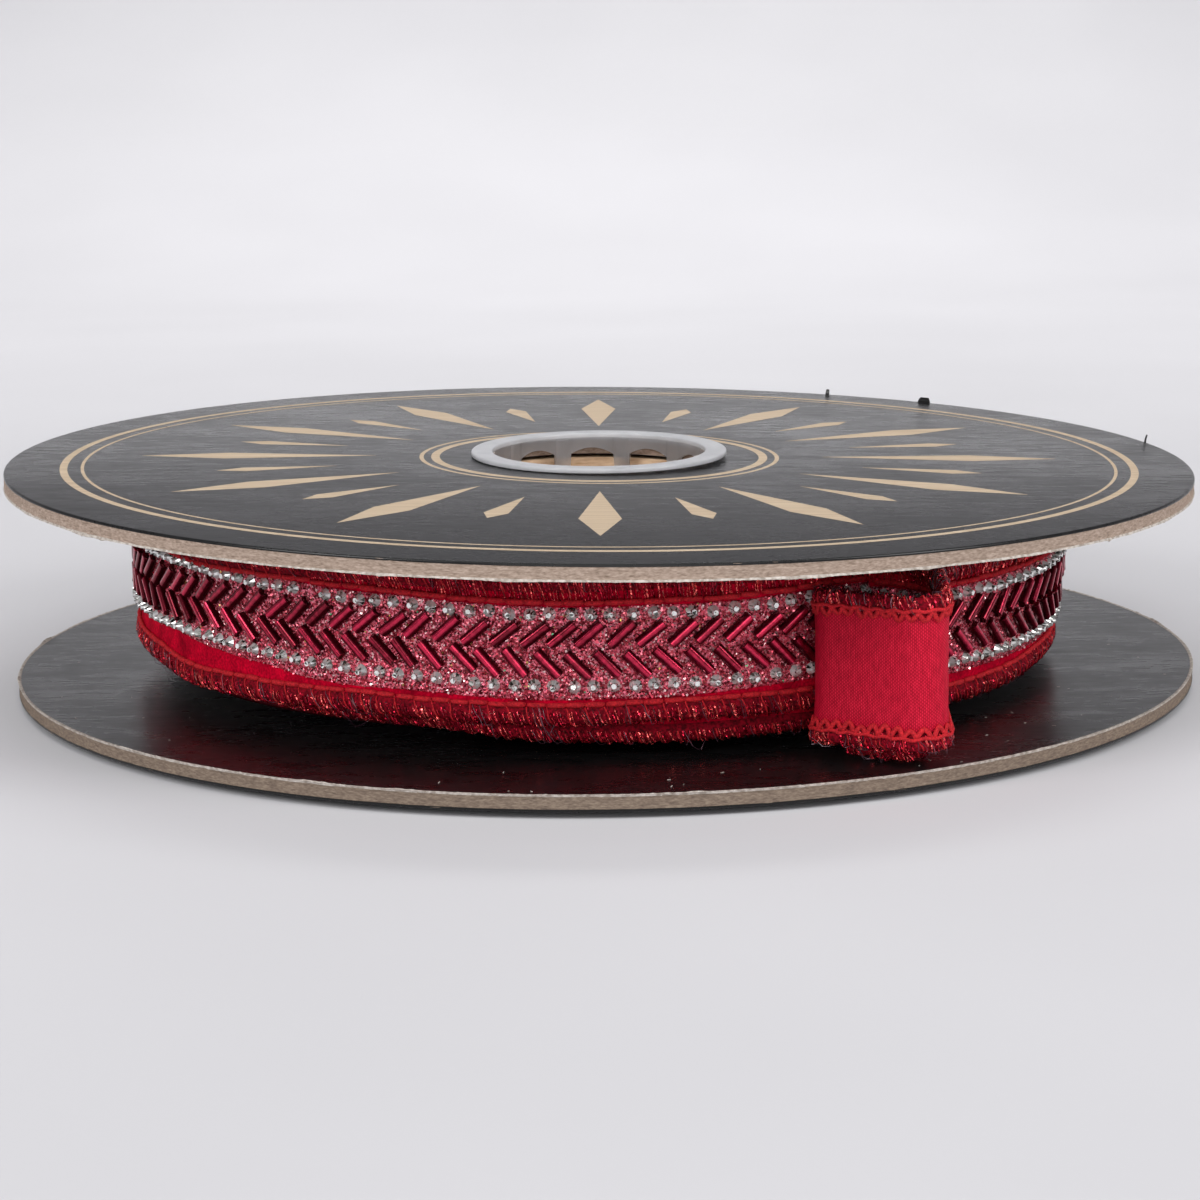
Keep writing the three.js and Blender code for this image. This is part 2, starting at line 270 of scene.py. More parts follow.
def thread_mesh(lines, ups, wide, thick=None, sides=5):
    """Closed tubes along lines (count, steps, 3); ups lie across them, wide is along and thick off them.

    Returns points, side quads and end caps. wide and thick are half sizes, each a number or an array."""
    thick = wide if thick is None else thick
    count, steps, _ = lines.shape
    run = np.gradient(lines, axis=1)
    run /= np.linalg.norm(run, axis=2, keepdims=True) + 1e-9
    side = np.cross(run, ups)
    side /= np.linalg.norm(side, axis=2, keepdims=True) + 1e-9
    off = np.cross(side, run)
    turn = 2 * math.pi * (np.arange(sides) + 0.5) / sides
    wide, thick = (np.broadcast_to(v, (count, steps))[..., None, None] for v in (wide, thick))
    rings = (lines[:, :, None] + wide * np.cos(turn)[:, None] * side[:, :, None]
             + thick * np.sin(turn)[:, None] * off[:, :, None])
    first = (np.arange(count) * steps * sides)[:, None, None]
    quads = (first + grid_faces(steps, sides, loop_columns=True)[None]).reshape(-1, 4)
    ends = np.arange(sides)
    caps = np.concatenate([first[:, 0] + ends, first[:, 0] + (steps - 1) * sides + ends[::-1]])
    return rings.reshape(-1, 3), quads, caps


def joined_threads(name, *parts, **options):
    """Several results of thread_mesh with the same number of sides, as one object."""
    points, quads, caps, start = [], [], [], 0
    for p, q, c in parts:
        points.append(p)
        quads.append(q + start)
        caps.append(c + start)
        start += len(p)
    return joined_mesh(name, np.concatenate(points), np.concatenate(quads), np.concatenate(caps), **options)


def per_thread(parts, values):
    """A value for each thread, repeated over its points."""
    return np.concatenate([np.repeat(v, len(p[0]) // len(v)) for p, v in zip(parts, values)])


def template(shape):
    """Points in millimetres and faces by corner count of a modelled object, which is then removed.

    Both are sorted by place, because edit mode can leave them in another order each time."""
    mesh = shape.data
    points = np.array([v.co for v in mesh.vertices]) / MM
    order = np.lexsort(np.round(points, 3).T)
    sorted_index = np.argsort(order)
    faces = {}
    for face in sorted(mesh.polygons, key=lambda f: [round(c, 3) for c in f.center / MM]):
        faces.setdefault(len(face.vertices), []).append(sorted_index[list(face.vertices)])
    bpy.data.objects.remove(shape)
    bpy.data.meshes.remove(mesh)
    return points[order], [np.array(f) for f in faces.values()]


def copies(name, shape, places, frames, attributes=None, local=None):
    """Joined copies of a template at places, turned by frames: rows of x, y and z directions.

    attributes hold a value for each copy, and local a value for each point of the template."""
    points, faces = shape
    placed = places[:, None] + np.einsum("pk,nkj->npj", points, frames)
    shift = (np.arange(len(places)) * len(points))[:, None, None]
    polygons = [(shift + f[None]).reshape(-1, f.shape[1]) for f in faces]
    spread = {k: np.repeat(v, len(points)) for k, v in (attributes or {}).items()}
    spread.update({k: np.tile(v, len(places)) for k, v in (local or {}).items()})
    return joined_mesh(name, placed, *polygons, attributes=spread)


# Edit-mode helpers for the pieces that are modelled one by one.


def activate(shape, mode="EDIT"):
    """Makes a shape the active and only selected one, in edit mode unless another is named."""
    bpy.ops.object.select_all(action="DESELECT")
    bpy.context.view_layer.objects.active = shape
    shape.select_set(True)
    bpy.ops.object.mode_set(mode=mode)
    return shape


def face_out():
    """Points the faces of the shape in edit mode outwards, and leaves edit mode."""
    bpy.ops.mesh.select_all(action="SELECT")
    bpy.ops.mesh.normals_make_consistent(inside=False)
    bpy.ops.object.mode_set(mode="OBJECT")


def start_shape(name):
    """Names the primitive just added and opens it in edit mode, with nothing else selected."""
    made = bpy.context.active_object
    made.name = made.data.name = name
    bpy.ops.object.mode_set(mode="EDIT")
    return made


def add_primitive(kind, name, **options):
    bpy.ops.object.select_all(action="DESELECT")
    getattr(bpy.ops.mesh, f"primitive_{kind}_add")(**options)
    return start_shape(name)


def pick(shape, mode, test):
    """Selects, in edit mode, the vertices, edges or faces whose middle passes the test."""
    bpy.ops.mesh.select_mode(type=mode)
    bpy.ops.mesh.select_all(action="DESELECT")
    bpy.ops.object.mode_set(mode="OBJECT")
    mesh = shape.data
    if mode == "VERT":
        for v in mesh.vertices:
            v.select = test(v.co / MM)
    elif mode == "EDGE":
        for e in mesh.edges:
            e.select = test((mesh.vertices[e.vertices[0]].co + mesh.vertices[e.vertices[1]].co) / 2 / MM)
    else:
        for f in mesh.polygons:
            f.select = test(f.center / MM)
    bpy.ops.object.mode_set(mode="EDIT")


def finish_shape(shape, matrix=None, smooth_angle=35):
    """Leaves edit mode, points the faces out, puts the piece in its place and rounds its shading."""
    bpy.ops.mesh.select_all(action="SELECT")
    bpy.ops.mesh.remove_doubles(threshold=0.004 * MM)
    bpy.ops.mesh.normals_make_consistent(inside=False)
    bpy.ops.object.mode_set(mode="OBJECT")
    if matrix is not None:
        shape.matrix_world = matrix
    bpy.ops.object.select_all(action="DESELECT")
    shape.select_set(True)
    bpy.ops.object.transform_apply(location=True, rotation=True, scale=True)
    bpy.ops.object.shade_smooth_by_angle(angle=math.radians(smooth_angle))
    return shape


def turned_ring(name, inner, outer, low, high, steps, rounded=(), cuts=0):
    """A ring spun from a rectangle. rounded lists (corner, radius), a corner as "inner low" or the like."""
    shape = add_primitive("plane", name, size=1, rotation=(math.pi / 2, 0, 0))
    bpy.ops.transform.resize(value=((outer - inner) * MM, 1, (high - low) * MM))
    bpy.ops.transform.translate(value=((outer + inner) / 2 * MM, 0, (high + low) / 2 * MM))
    bpy.ops.object.mode_set(mode="OBJECT")
    bpy.ops.object.transform_apply(location=True, rotation=True, scale=True)
    bpy.ops.object.mode_set(mode="EDIT")
    if cuts:
        pick(shape, "EDGE", lambda p: abs(p.x - outer) < 0.01)
        bpy.ops.mesh.subdivide(number_cuts=cuts)
    for corner, radius in rounded:
        x, z = (inner if "inner" in corner else outer), (low if "low" in corner else high)
        pick(shape, "VERT", lambda p: abs(p.x - x) < 0.01 and abs(p.z - z) < 0.01)
        bpy.ops.mesh.bevel(offset=radius * MM, segments=3, affect="VERTICES")
    bpy.ops.mesh.select_mode(type="FACE")
    bpy.ops.mesh.select_all(action="SELECT")
    bpy.ops.mesh.delete(type="ONLY_FACE")
    bpy.ops.mesh.select_mode(type="EDGE")
    bpy.ops.mesh.select_all(action="SELECT")
    bpy.ops.mesh.spin(steps=steps, angle=2 * math.pi, center=(0, 0, 0), axis=(0, 0, 1))
    return shape


# Materials.


def linear(code):
    """An sRGB hex colour as linear red, green, blue and alpha."""
    parts = [int(code[i:i + 2], 16) / 255 for i in (1, 3, 5)]
    return tuple(c / 12.92 if c <= 0.04045 else ((c + 0.055) / 1.055) ** 2.4 for c in parts) + (1.0,)


def add_node(tree, kind, settings=None, inputs=None, stops=None):
    """Adds a node with its settings, the values or links of its inputs and a ramp's stops."""
    made = tree.nodes.new(kind)
    for name, value in (settings or {}).items():
        setattr(made, name, value)
    for socket, value in (inputs or {}).items():
        if isinstance(value, bpy.types.NodeSocket):
            tree.links.new(value, made.inputs[socket])
        else:
            made.inputs[socket].default_value = value
    for i, (place, code) in enumerate(stops or []):
        element = made.color_ramp.elements[i] if i < 2 else made.color_ramp.elements.new(place)
        element.position, element.color = place, linear(code)
    return made


def new_material(name, **sockets):
    """A material with a Principled surface, and its nodes; sockets are the surface's constant values."""
    made = bpy.data.materials.new(name)
    made.use_nodes = True
    surface = made.node_tree.nodes["Principled BSDF"]
    for socket, value in sockets.items():
        surface.inputs[socket.replace("_", " ")].default_value = value
    return made, made.node_tree


def linked(made, **sources):
    """Gives a material back with node outputs linked to its surface's sockets."""
    surface = made.node_tree.nodes["Principled BSDF"]
    for socket, source in sources.items():
        made.node_tree.links.new(source, surface.inputs[socket.replace("_", " ")])
    return made


def per_mm(size):
    """Texture scale for a feature of a size in millimetres, on Object coordinates in metres."""
    return 1 / (size * MM)


def object_coordinates(tree, scale=(1, 1, 1)):
    """Object coordinates, stretched by a scale for each axis."""
    place = add_node(tree, "ShaderNodeTexCoord").outputs["Object"]
    return add_node(tree, "ShaderNodeMapping", inputs={"Vector": place, "Scale": scale}).outputs[0]


def noise(tree, size, detail, roughness=0.5):
    """A noise with features of a size in millimetres, or of a size along each axis."""
    sizes = size if isinstance(size, tuple) else (size, size, size)
    place = object_coordinates(tree, tuple(per_mm(v) for v in sizes))
    return add_node(tree, "ShaderNodeTexNoise", inputs={
        "Vector": place, "Scale": 1.0, "Detail": detail, "Roughness": roughness}).outputs["Fac"]


def grains(tree, size):
    """A random colour for each grain of a size in millimetres."""
    return add_node(tree, "ShaderNodeTexVoronoi", inputs={
        "Vector": object_coordinates(tree), "Scale": per_mm(size)}).outputs["Color"]


def maths(tree, operation, *values):
    """The result of a Math node on numbers or sockets."""
    return add_node(tree, "ShaderNodeMath", {"operation": operation}, dict(enumerate(values))).outputs[0]


def attribute(tree, name):
    return add_node(tree, "ShaderNodeAttribute", {"attribute_name": name}).outputs["Fac"]


def ramp(tree, level, *stops):
    """A level turned to colour. The stops are the first, the last and then those between them."""
    return add_node(tree, "ShaderNodeValToRGB", inputs={"Fac": level}, stops=stops).outputs["Color"]


def bumped(tree, height, strength, distance):
    """A normal that follows a height, with the distance in millimetres."""
    return add_node(tree, "ShaderNodeBump", inputs={
        "Strength": strength, "Distance": distance * MM, "Height": height}).outputs["Normal"]


def faced_paper():
    """Black paper, gloss laminated with a faint linen grain: it mirrors softly, a little unevenly."""
    made, tree = new_material("charcoal_laminated_paper", IOR=1.41)
    grain = noise(tree, (7, 2.2, 7), 5, roughness=0.7)
    blotches = noise(tree, (30, 18, 30), 3)
    height = maths(tree, "MULTIPLY_ADD", blotches, 0.6, grain)
    rough = add_node(tree, "ShaderNodeMapRange", inputs={
        "Value": height, "From Min": 0.5, "From Max": 1.1, "To Min": 0.2, "To Max": 0.38})
    colour = ramp(tree, grain, (0.3, "#080808"), (0.72, "#161516"))
    return linked(made, Base_Color=colour, Roughness=rough.outputs["Result"],
                  Normal=bumped(tree, height, 0.1, 0.05))


def greyboard(name, dark, middle, light):
    """Recycled greyboard, cut by a die: matt, with level fibre layers and a few dark specks."""
    made, tree = new_material(name, Roughness=0.92, Specular_IOR_Level=0.25)
    layers = noise(tree, (1.6, 1.6, 0.4), 4, roughness=0.6)
    fibres = noise(tree, (0.7, 0.7, 0.22), 3)
    half = maths(tree, "MULTIPLY", maths(tree, "ADD", layers, fibres), 0.5)
    colour = ramp(tree, half, (0.32, dark), (0.66, light), (0.48, middle))
    return linked(made, Base_Color=colour, Normal=bumped(tree, half, 0.5, 0.15))


def torn_fibre():
    """Loose pale paper fibre that a cutting die raises along a rim: matt and uneven."""
    made, tree = new_material("torn_paper_fibre", Roughness=0.95, Specular_IOR_Level=0.2)
    return linked(made, Base_Color=ramp(tree, noise(tree, 0.8, 3), (0.35, "#9c9187"), (0.65, "#cfc7bf")))


def kraft_paper():
    """Kraft paper, wound on a mandrel: matt, with long level fibres, coloured paler than brown kraft as
    painted light inside the hub's hole.
    """
    made, tree = new_material("spiral_wound_kraft", Roughness=0.88, Specular_IOR_Level=0.3)
    fibres = noise(tree, (3, 3, 0.6), 5)
    # Paler than brown kraft: painted light for the light that reaches down the hole.
    colour = ramp(tree, fibres, (0.3, "#c8a07a"), (0.7, "#f8dab8"))
    return linked(made, Base_Color=colour, Normal=bumped(tree, fibres, 0.4, 0.1))


def hub_plastic(name, clear):
    """Natural polypropylene, injection moulded: milky, the clearer the thinner, with a soft gloss."""
    made, tree = new_material(name, Roughness=0.3, IOR=1.49, Transmission_Weight=clear)
    cloud = noise(tree, 4, 2)
    colour = ramp(tree, cloud, (0.3, "#d2d3d6"), (0.7, "#e2e2e5"))
    return linked(made, Base_Color=colour, Normal=bumped(tree, cloud, 0.15, 0.1))


def gold_print():
    """Pale gold ink, screen printed: almost matt, with the paper's streaks showing through."""
    made, tree = new_material("pale_gold_ink", Roughness=0.45, Metallic=0.25)
    streaks = noise(tree, (40, 0.9, 40), 4)
    return linked(made, Base_Color=ramp(tree, streaks, (0.3, "#c0a684"), (0.7, "#dcc5a6")))


def velvet():
    """Crimson velvet ribbon: a short dense pile, dark face on and light where it turns away."""
    made, tree = new_material("crimson_velvet", Roughness=0.85, Specular_IOR_Level=0.04, Sheen_Weight=0.35,
                              Sheen_Roughness=0.35, Sheen_Tint=linear("#ff0a30"))
    pile = noise(tree, 0.45, 3)
    crush = noise(tree, 5, 2)
    colour = ramp(tree, maths(tree, "MULTIPLY", pile, crush), (0.12, "#7c0018"), (0.42, "#dc042e"))
    return linked(made, Base_Color=colour, Normal=bumped(tree, pile, 0.6, 0.12))


def edge_cord():
    """Dark maroon yarn packed under the edge sewing: matt, in the shade of the strands over it."""
    made, tree = new_material("maroon_edge_yarn", Roughness=0.9, Specular_IOR_Level=0.15)
    yarn = noise(tree, 0.5, 3)
    colour = ramp(tree, yarn, (0.35, "#46000a"), (0.65, "#94041e"))
    return linked(made, Base_Color=colour, Normal=bumped(tree, yarn, 0.6, 0.15))


def woven_back():
    """Polyester taffeta back: a plain weave of crimson yarns, with a faint silky gloss."""
    made, tree = new_material("woven_polyester_back", Roughness=0.62, Specular_IOR_Level=0.15,
                              Sheen_Weight=0.06, Sheen_Roughness=0.4, Sheen_Tint=linear("#ff2434"))
    warp, weft = 0.31, 0.27  # millimetres between yarns
    place = add_node(tree, "ShaderNodeTexCoord").outputs["UV"]
    wobble = add_node(tree, "ShaderNodeTexNoise", inputs={"Vector": place, "Scale": 0.8, "Detail": 2.0})
    bent = add_node(tree, "ShaderNodeMixRGB", {"blend_type": "ADD"}, {
        "Fac": 0.25, "Color1": place, "Color2": wobble.outputs["Color"]})
    axes = add_node(tree, "ShaderNodeSeparateXYZ", inputs={"Vector": bent.outputs[0]}).outputs
    ends, picks = (maths(tree, "SINE", maths(tree, "MULTIPLY", axes[axis], math.pi / pitch))
                   for axis, pitch in (("X", warp), ("Y", weft)))
    over = maths(tree, "MULTIPLY", ends, picks)
    rib = maths(tree, "MULTIPLY", maths(tree, "ABSOLUTE", ends), 0.5)
    lift = maths(tree, "MULTIPLY_ADD", over, 0.3, rib)
    yarns = add_node(tree, "ShaderNodeMapping", inputs={"Vector": place, "Scale": (1.8, 0.5, 1)})
    slub = add_node(tree, "ShaderNodeTexNoise", inputs={
        "Vector": yarns.outputs[0], "Scale": 1.0, "Detail": 4.0})
    level = maths(tree, "MULTIPLY_ADD", slub.outputs["Fac"], 0.85, lift)
    colour = ramp(tree, maths(tree, "MULTIPLY", level, 0.67),
                  (0.1, "#700014"), (0.95, "#f02a48"), (0.5, "#b8062a"))
    return linked(made, Base_Color=colour, Normal=bumped(tree, lift, 0.5, 0.08))


def glinting_normal(tree, size, spread):
    """A normal that tilts anew in every grain of a size in millimetres, and a random level for each."""
    cells = grains(tree, size)
    tilt = add_node(tree, "ShaderNodeVectorMath", {"operation": "SUBTRACT"}, {0: cells, 1: (0.5, 0.5, 0.5)})
    longer = add_node(tree, "ShaderNodeVectorMath", {"operation": "SCALE"}, {
        0: tilt.outputs[0], "Scale": spread})
    facing = add_node(tree, "ShaderNodeNewGeometry")
    turned = add_node(tree, "ShaderNodeVectorMath", {"operation": "ADD"}, {
        0: facing.outputs["Normal"], 1: longer.outputs[0]})
    unit = add_node(tree, "ShaderNodeVectorMath", {"operation": "NORMALIZE"}, {0: turned.outputs[0]})
    parts = add_node(tree, "ShaderNodeSeparateXYZ", inputs={"Vector": cells})
    return unit.outputs[0], parts.outputs["X"]


def glitter_film():
    """Glitter set in clear red glue: grains of foil at every tilt, so each one glints by itself."""
    made, tree = new_material("rose_glitter_film", Roughness=0.34, Metallic=0.5,
                              Coat_Weight=0.1, Coat_Roughness=0.2)
    normal, level = glinting_normal(tree, 0.3, 0.9)
    colour = ramp(tree, level, (0.0, "#480610"), (0.98, "#ffc4c8"), (0.36, "#a41a2e"), (0.6, "#e04c64"),
                  (0.86, "#f8809a"))
    return linked(made, Base_Color=colour, Normal=normal)


def glitter_flakes():
    """Cut polyester foil: mirror-bright rose flakes, with a few silver, gold and green strays."""
    made, tree = new_material("rose_foil_flakes", Roughness=0.25, Metallic=0.75,
                              Coat_Weight=0.4, Coat_Roughness=0.1)
    colour = ramp(tree, attribute(tree, "tint"), (0.0, "#7c0c20"), (0.28, "#c6344c"), (0.6, "#f07484"),
                  (0.9, "#fdd2d2"), (0.985, "#e3c46a"), (0.994, "#4fa070"))
    colour.node.color_ramp.interpolation = "CONSTANT"
    return linked(made, Base_Color=colour)


def rhinestone_glass():
    """Foil-backed cut glass under a clear polish: each facet painted at random from dark to white, as painted
    reflections of the room.
    """
    made, tree = new_material("foil_backed_cut_glass", Roughness=0.12, Metallic=0.5,
                              Coat_Weight=1.0, Coat_Roughness=0.03)
    inner = add_node(tree, "ShaderNodeSeparateXYZ", inputs={"Vector": grains(tree, 0.5)})
    # The cut level picks each facet's painted reflection, from dark to white.
    level = maths(tree, "MULTIPLY_ADD", inner.outputs["X"], 0.35, attribute(tree, "cut"))
    colour = ramp(tree, level, (0.15, "#1e1f1c"), (0.7, "#ffffff"), (0.34, "#80827a"), (0.5, "#e8e9e3"))
    return linked(made, Base_Color=colour)


def bugle_glass():
    """Foil-lined garnet glass tube: a ruby painted highlight along its side off the ribbon, where the lining
    shows through, and painted shade at its flanks.
    """
    made, tree = new_material("foil_lined_garnet_glass", Roughness=0.2, Metallic=0.75,
                              Coat_Weight=0.12, Coat_Roughness=0.06)
    streaks = maths(tree, "MULTIPLY_ADD", attribute(tree, "tint"), 0.35, noise(tree, 0.9, 3))
    share = maths(tree, "MULTIPLY", streaks, 0.4)
    # Points far up the bead get a painted highlight, and those at its flanks painted shade.
    level = maths(tree, "MULTIPLY_ADD", attribute(tree, "painted_highlight_crest"), 0.6, share)
    colour = ramp(tree, level, (0.42, "#40040e"), (0.96, "#e02c54"), (0.76, "#7c0a24"))
    return linked(made, Base_Color=colour)


def tinsel_foil():
    """Metallised red film yarn: flat, crumpled into facets that mirror the light one by one."""
    made, tree = new_material("red_tinsel_film", Roughness=0.22, Metallic=0.8,
                              Coat_Weight=0.15, Coat_Roughness=0.1)
    normal, level = glinting_normal(tree, 0.26, 1.2)
    mixed = maths(tree, "MULTIPLY_ADD", level, 0.5, attribute(tree, "tint"))
    colour = ramp(tree, mixed, (0.05, "#680014"), (1.0, "#ff6c68"), (0.5, "#a80428"), (0.85, "#da1a3c"))
    return linked(made, Base_Color=colour, Normal=normal)


def sewing_thread():
    """Spun polyester sewing thread in orange red: matt, with a twist of fine fibres."""
    made, tree = new_material("orange_red_sewing_thread", Roughness=0.8, Specular_IOR_Level=0.3,
                              Sheen_Weight=0.2, Sheen_Tint=linear("#f04040"))
    fibre = noise(tree, 0.3, 3)
    colour = ramp(tree, fibre, (0.3, "#8c0618"), (0.7, "#da222c"))
    return linked(made, Base_Color=colour, Normal=bumped(tree, fibre, 0.5, 0.08))


def monofilament():
    """Clear nylon monofilament with a smoky violet cast: thin, springy and glossy."""
    made, tree = new_material("smoky_monofilament", Roughness=0.25, IOR=1.53, Metallic=0.2)
    return linked(made, Base_Color=ramp(tree, attribute(tree, "tint"), (0.2, "#3a1420"), (0.9, "#7c5c6a")))


def sweep_paper():
    """Seamless studio paper, matt and pale."""
    made, tree = new_material("pale_studio_paper", Roughness=0.95, Specular_IOR_Level=0.15)
    mottle = noise(tree, 1000 / 6, 2)
    return linked(made, Base_Color=ramp(tree, mottle, (0.3, "#d0cfd2"), (0.7, "#d5d4d7")))


PAPER = faced_paper()
# The lower flange's board is the same greyboard, only darker.
BOARD = {"top": greyboard("recycled_greyboard", "#796759", "#9c897b", "#baa698"),
         "bottom": greyboard("handled_greyboard", "#60534b", "#7c6c5f", "#958575")}
FIBRE = torn_fibre()
KRAFT = kraft_paper()
PLASTIC = {"ring": hub_plastic("milky_polypropylene", 0.4), "skirt": hub_plastic("thin_polypropylene", 0.82)}
GOLD = gold_print()
VELVET = velvet()
CORD = edge_cord()
WEAVE = woven_back()
FILM = glitter_film()
FLAKES = glitter_flakes()
CRYSTAL = rhinestone_glass()
GARNET = bugle_glass()
TINSEL = tinsel_foil()
THREAD = sewing_thread()
NYLON = monofilament()


def dress(piece, slot, *materials, replaces=()):
    """Gives a finished piece its materials and body, and hides the solids that it stands for. slot is not
    used.
    """
    for made in materials:
        piece.data.materials.append(made)
    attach(piece, "root")
    if replaces:
        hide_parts(*replaces)
    return piece


# The reel.


def sloping(z, slope):
    """The upper flange's axis at a height, turned by a slope."""
    turn = (Matrix.Rotation(math.radians(slope["rise_to_back"]), 4, "X")
            @ Matrix.Rotation(math.radians(slope["fall_to_right"]), 4, "Y"))
    return Matrix.Translation(Vector((TOP["x"], TOP["y"], z)) * MM) @ turn


def upside_down(z):
    return Matrix.Translation((0, 0, z * MM)) @ Matrix.Rotation(math.pi, 4, "X")


def bowed(shape, bow):
    """Lifts a ring that is open in edit mode, most at the hole and not at all at the rim."""
    hole, radius = FLANGE["hole"], FLANGE["radius"]
    bpy.ops.object.mode_set(mode="OBJECT")
    for vertex in shape.data.vertices:
        reach = math.hypot(vertex.co.x, vertex.co.y) / MM
        vertex.co.z += bow * (radius - reach) / (radius - hole) * MM
    bpy.ops.object.mode_set(mode="EDIT")
    return shape


def rough_rim(board, matrix, seed):
    """Moves the cut edge of a board in and out by a few hundredths, as a worn die leaves it."""
    inverse = matrix.inverted()
    draw = np.random.default_rng(seed)
    for vertex in board.data.vertices:
        local = inverse @ vertex.co / MM
        radius = math.hypot(local.x, local.y)
        if radius > FLANGE["radius"] - 0.3 and 0.2 < local.z < FLANGE["thick"] - 0.2:
            shift = draw.normal(0, 0.035) - 0.05
            local.x *= 1 + shift / radius
            local.y *= 1 + shift / radius
            vertex.co = matrix @ (local * MM)


def fibre_burr(name, matrix, seed):
    """Ragged lip of pale fibre along the inner face's rim, with tufts where the die tore it."""
    steps, count = BURR["steps"], BURR["tufts"]
    turn = 2 * math.pi * np.arange(steps) / steps
    place = np.degrees(turn)
    draw = np.random.default_rng(seed)
    size = 0.3 + 0.2 * wander(place, seed, 11) + 0.2 * draw.random(steps) ** 3
    tufts = np.zeros(steps)
    places, spans = draw.uniform(0, FULL, count), draw.uniform(0.3, 2.0, count)
    for centre, span, tall in zip(places, spans, draw.uniform(0.3, 1.3, count)):
        gap = np.abs((place - centre + 180) % FULL - 180)
        tufts += tall * np.exp(-(gap / span) ** 2) * draw.uniform(0.5, 1.2, steps)
    size = np.clip(size + tufts * 0.8, 0.12, 2.6)
    rings = []
    for out, up, share in BURR_OUTLINE:
        jitter = draw.normal(0, 0.02, steps) * (share + 0.3)
        r = FLANGE["radius"] + out + BURR["reach"] * share * size * 0.3 + jitter
        z = up + (BURR["thick"] * up * size - up) * share + jitter
        rings.append(np.stack([r * np.cos(turn), r * np.sin(turn), z], 1))
    points = np.stack(rings, 1)
    burr = joined_mesh(name, points, grid_faces(steps, len(BURR_OUTLINE), True, True))
    burr.data.transform(matrix)
    return finish_shape(activate(burr), smooth_angle=60)


def flange(side, matrix, seed):
    """Board, its two facings and the fibre along its rim. z = 0 is the face that looks into the reel."""
    thick, skin, hole, radius = (FLANGE[k] for k in ("thick", "facing", "hole", "radius"))
    board = turned_ring(f"{side}_board", hole, radius, skin, thick - skin, FLANGE_STEPS, cuts=6,
                        rounded=[("outer high", 0.2)])
    finish_shape(bowed(board, BOW[side]), matrix)
    rough_rim(board, matrix, seed)
    dress(board, "faced_board", BOARD[side], replaces=[f"{side}_flange"])
    lip_low = thick - FLANGE["lip"]
    outer = turned_ring(f"{side}_outer_facing", hole - 0.02, radius + 0.02, lip_low, thick, FLANGE_STEPS,
                        rounded=[("outer high", 0.34)])
    pick(outer, "VERT", lambda p: p.z < lip_low + 0.02 and math.hypot(p.x, p.y) < radius - 1)
    bpy.ops.transform.translate(value=(0, 0, (FLANGE["lip"] - skin) * MM))
    dress(finish_shape(bowed(outer, BOW[side]), matrix), "faced_board", PAPER)
    inner = turned_ring(f"{side}_inner_facing", hole - 0.02, radius - 0.15, 0, skin, FLANGE_STEPS)
    dress(finish_shape(bowed(inner, BOW[side]), matrix), "faced_board", PAPER)
    dress(fibre_burr(f"{side}_fibre_burr", matrix, seed + 1), "faced_board", FIBRE)


def rim_flakes(matrix):
    """Three scraps of the upper facing that stand up from the rim at the back."""
    turn = np.radians(SCRAPS["turn"])
    wide, tall = np.array(SCRAPS["half"]), np.array(SCRAPS["tall"])
    share = np.linspace(0, 1, 4)
    reach = FLANGE["radius"] - 0.25 + 0.35 * share[None] ** 2 + 0 * turn[:, None]
    out = np.stack([np.cos(turn), np.sin(turn), 0 * turn], 1)[:, None]
    lines = reach[:, :, None] * out
    lines[:, :, 2] = FLANGE["thick"] - 0.15 + (tall[:, None] + 0.15) * share
    tapered = wide[:, None] * (1 - 0.35 * share ** 2)
    scraps = joined_threads("torn_facing_scraps", thread_mesh(lines, out + 0 * lines, tapered, 0.08, sides=4))
    scraps.data.transform(matrix)
    dress(scraps, "faced_board", PAPER)


def dust(name, z, seed):
    """Specks of board fibre lying on a facing at a height."""
    draw = np.random.default_rng(seed)
    count, half = DUST["count"], DUST["half"]
    turn = draw.uniform(0, 2 * math.pi, count)
    reach = draw.uniform(DUST["nearest"], FLANGE["radius"] - 1, count)
    middle = np.stack([reach * np.cos(turn), reach * np.sin(turn), np.full(count, z + half)], 1)[:, None]
    along_it = draw.normal(0, 1, (count, 1, 3)) * (1, 1, 0.15)
    along_it /= np.linalg.norm(along_it, axis=2, keepdims=True)
    lines = middle + along_it * draw.uniform(0.08, 0.35, (count, 1, 1)) * np.array([-1, 0, 1])[None, :, None]
    specks = joined_threads(name, thread_mesh(lines, np.zeros_like(lines) + (0, 0, 1), half, sides=4))
    dress(specks, "faced_board", FIBRE)


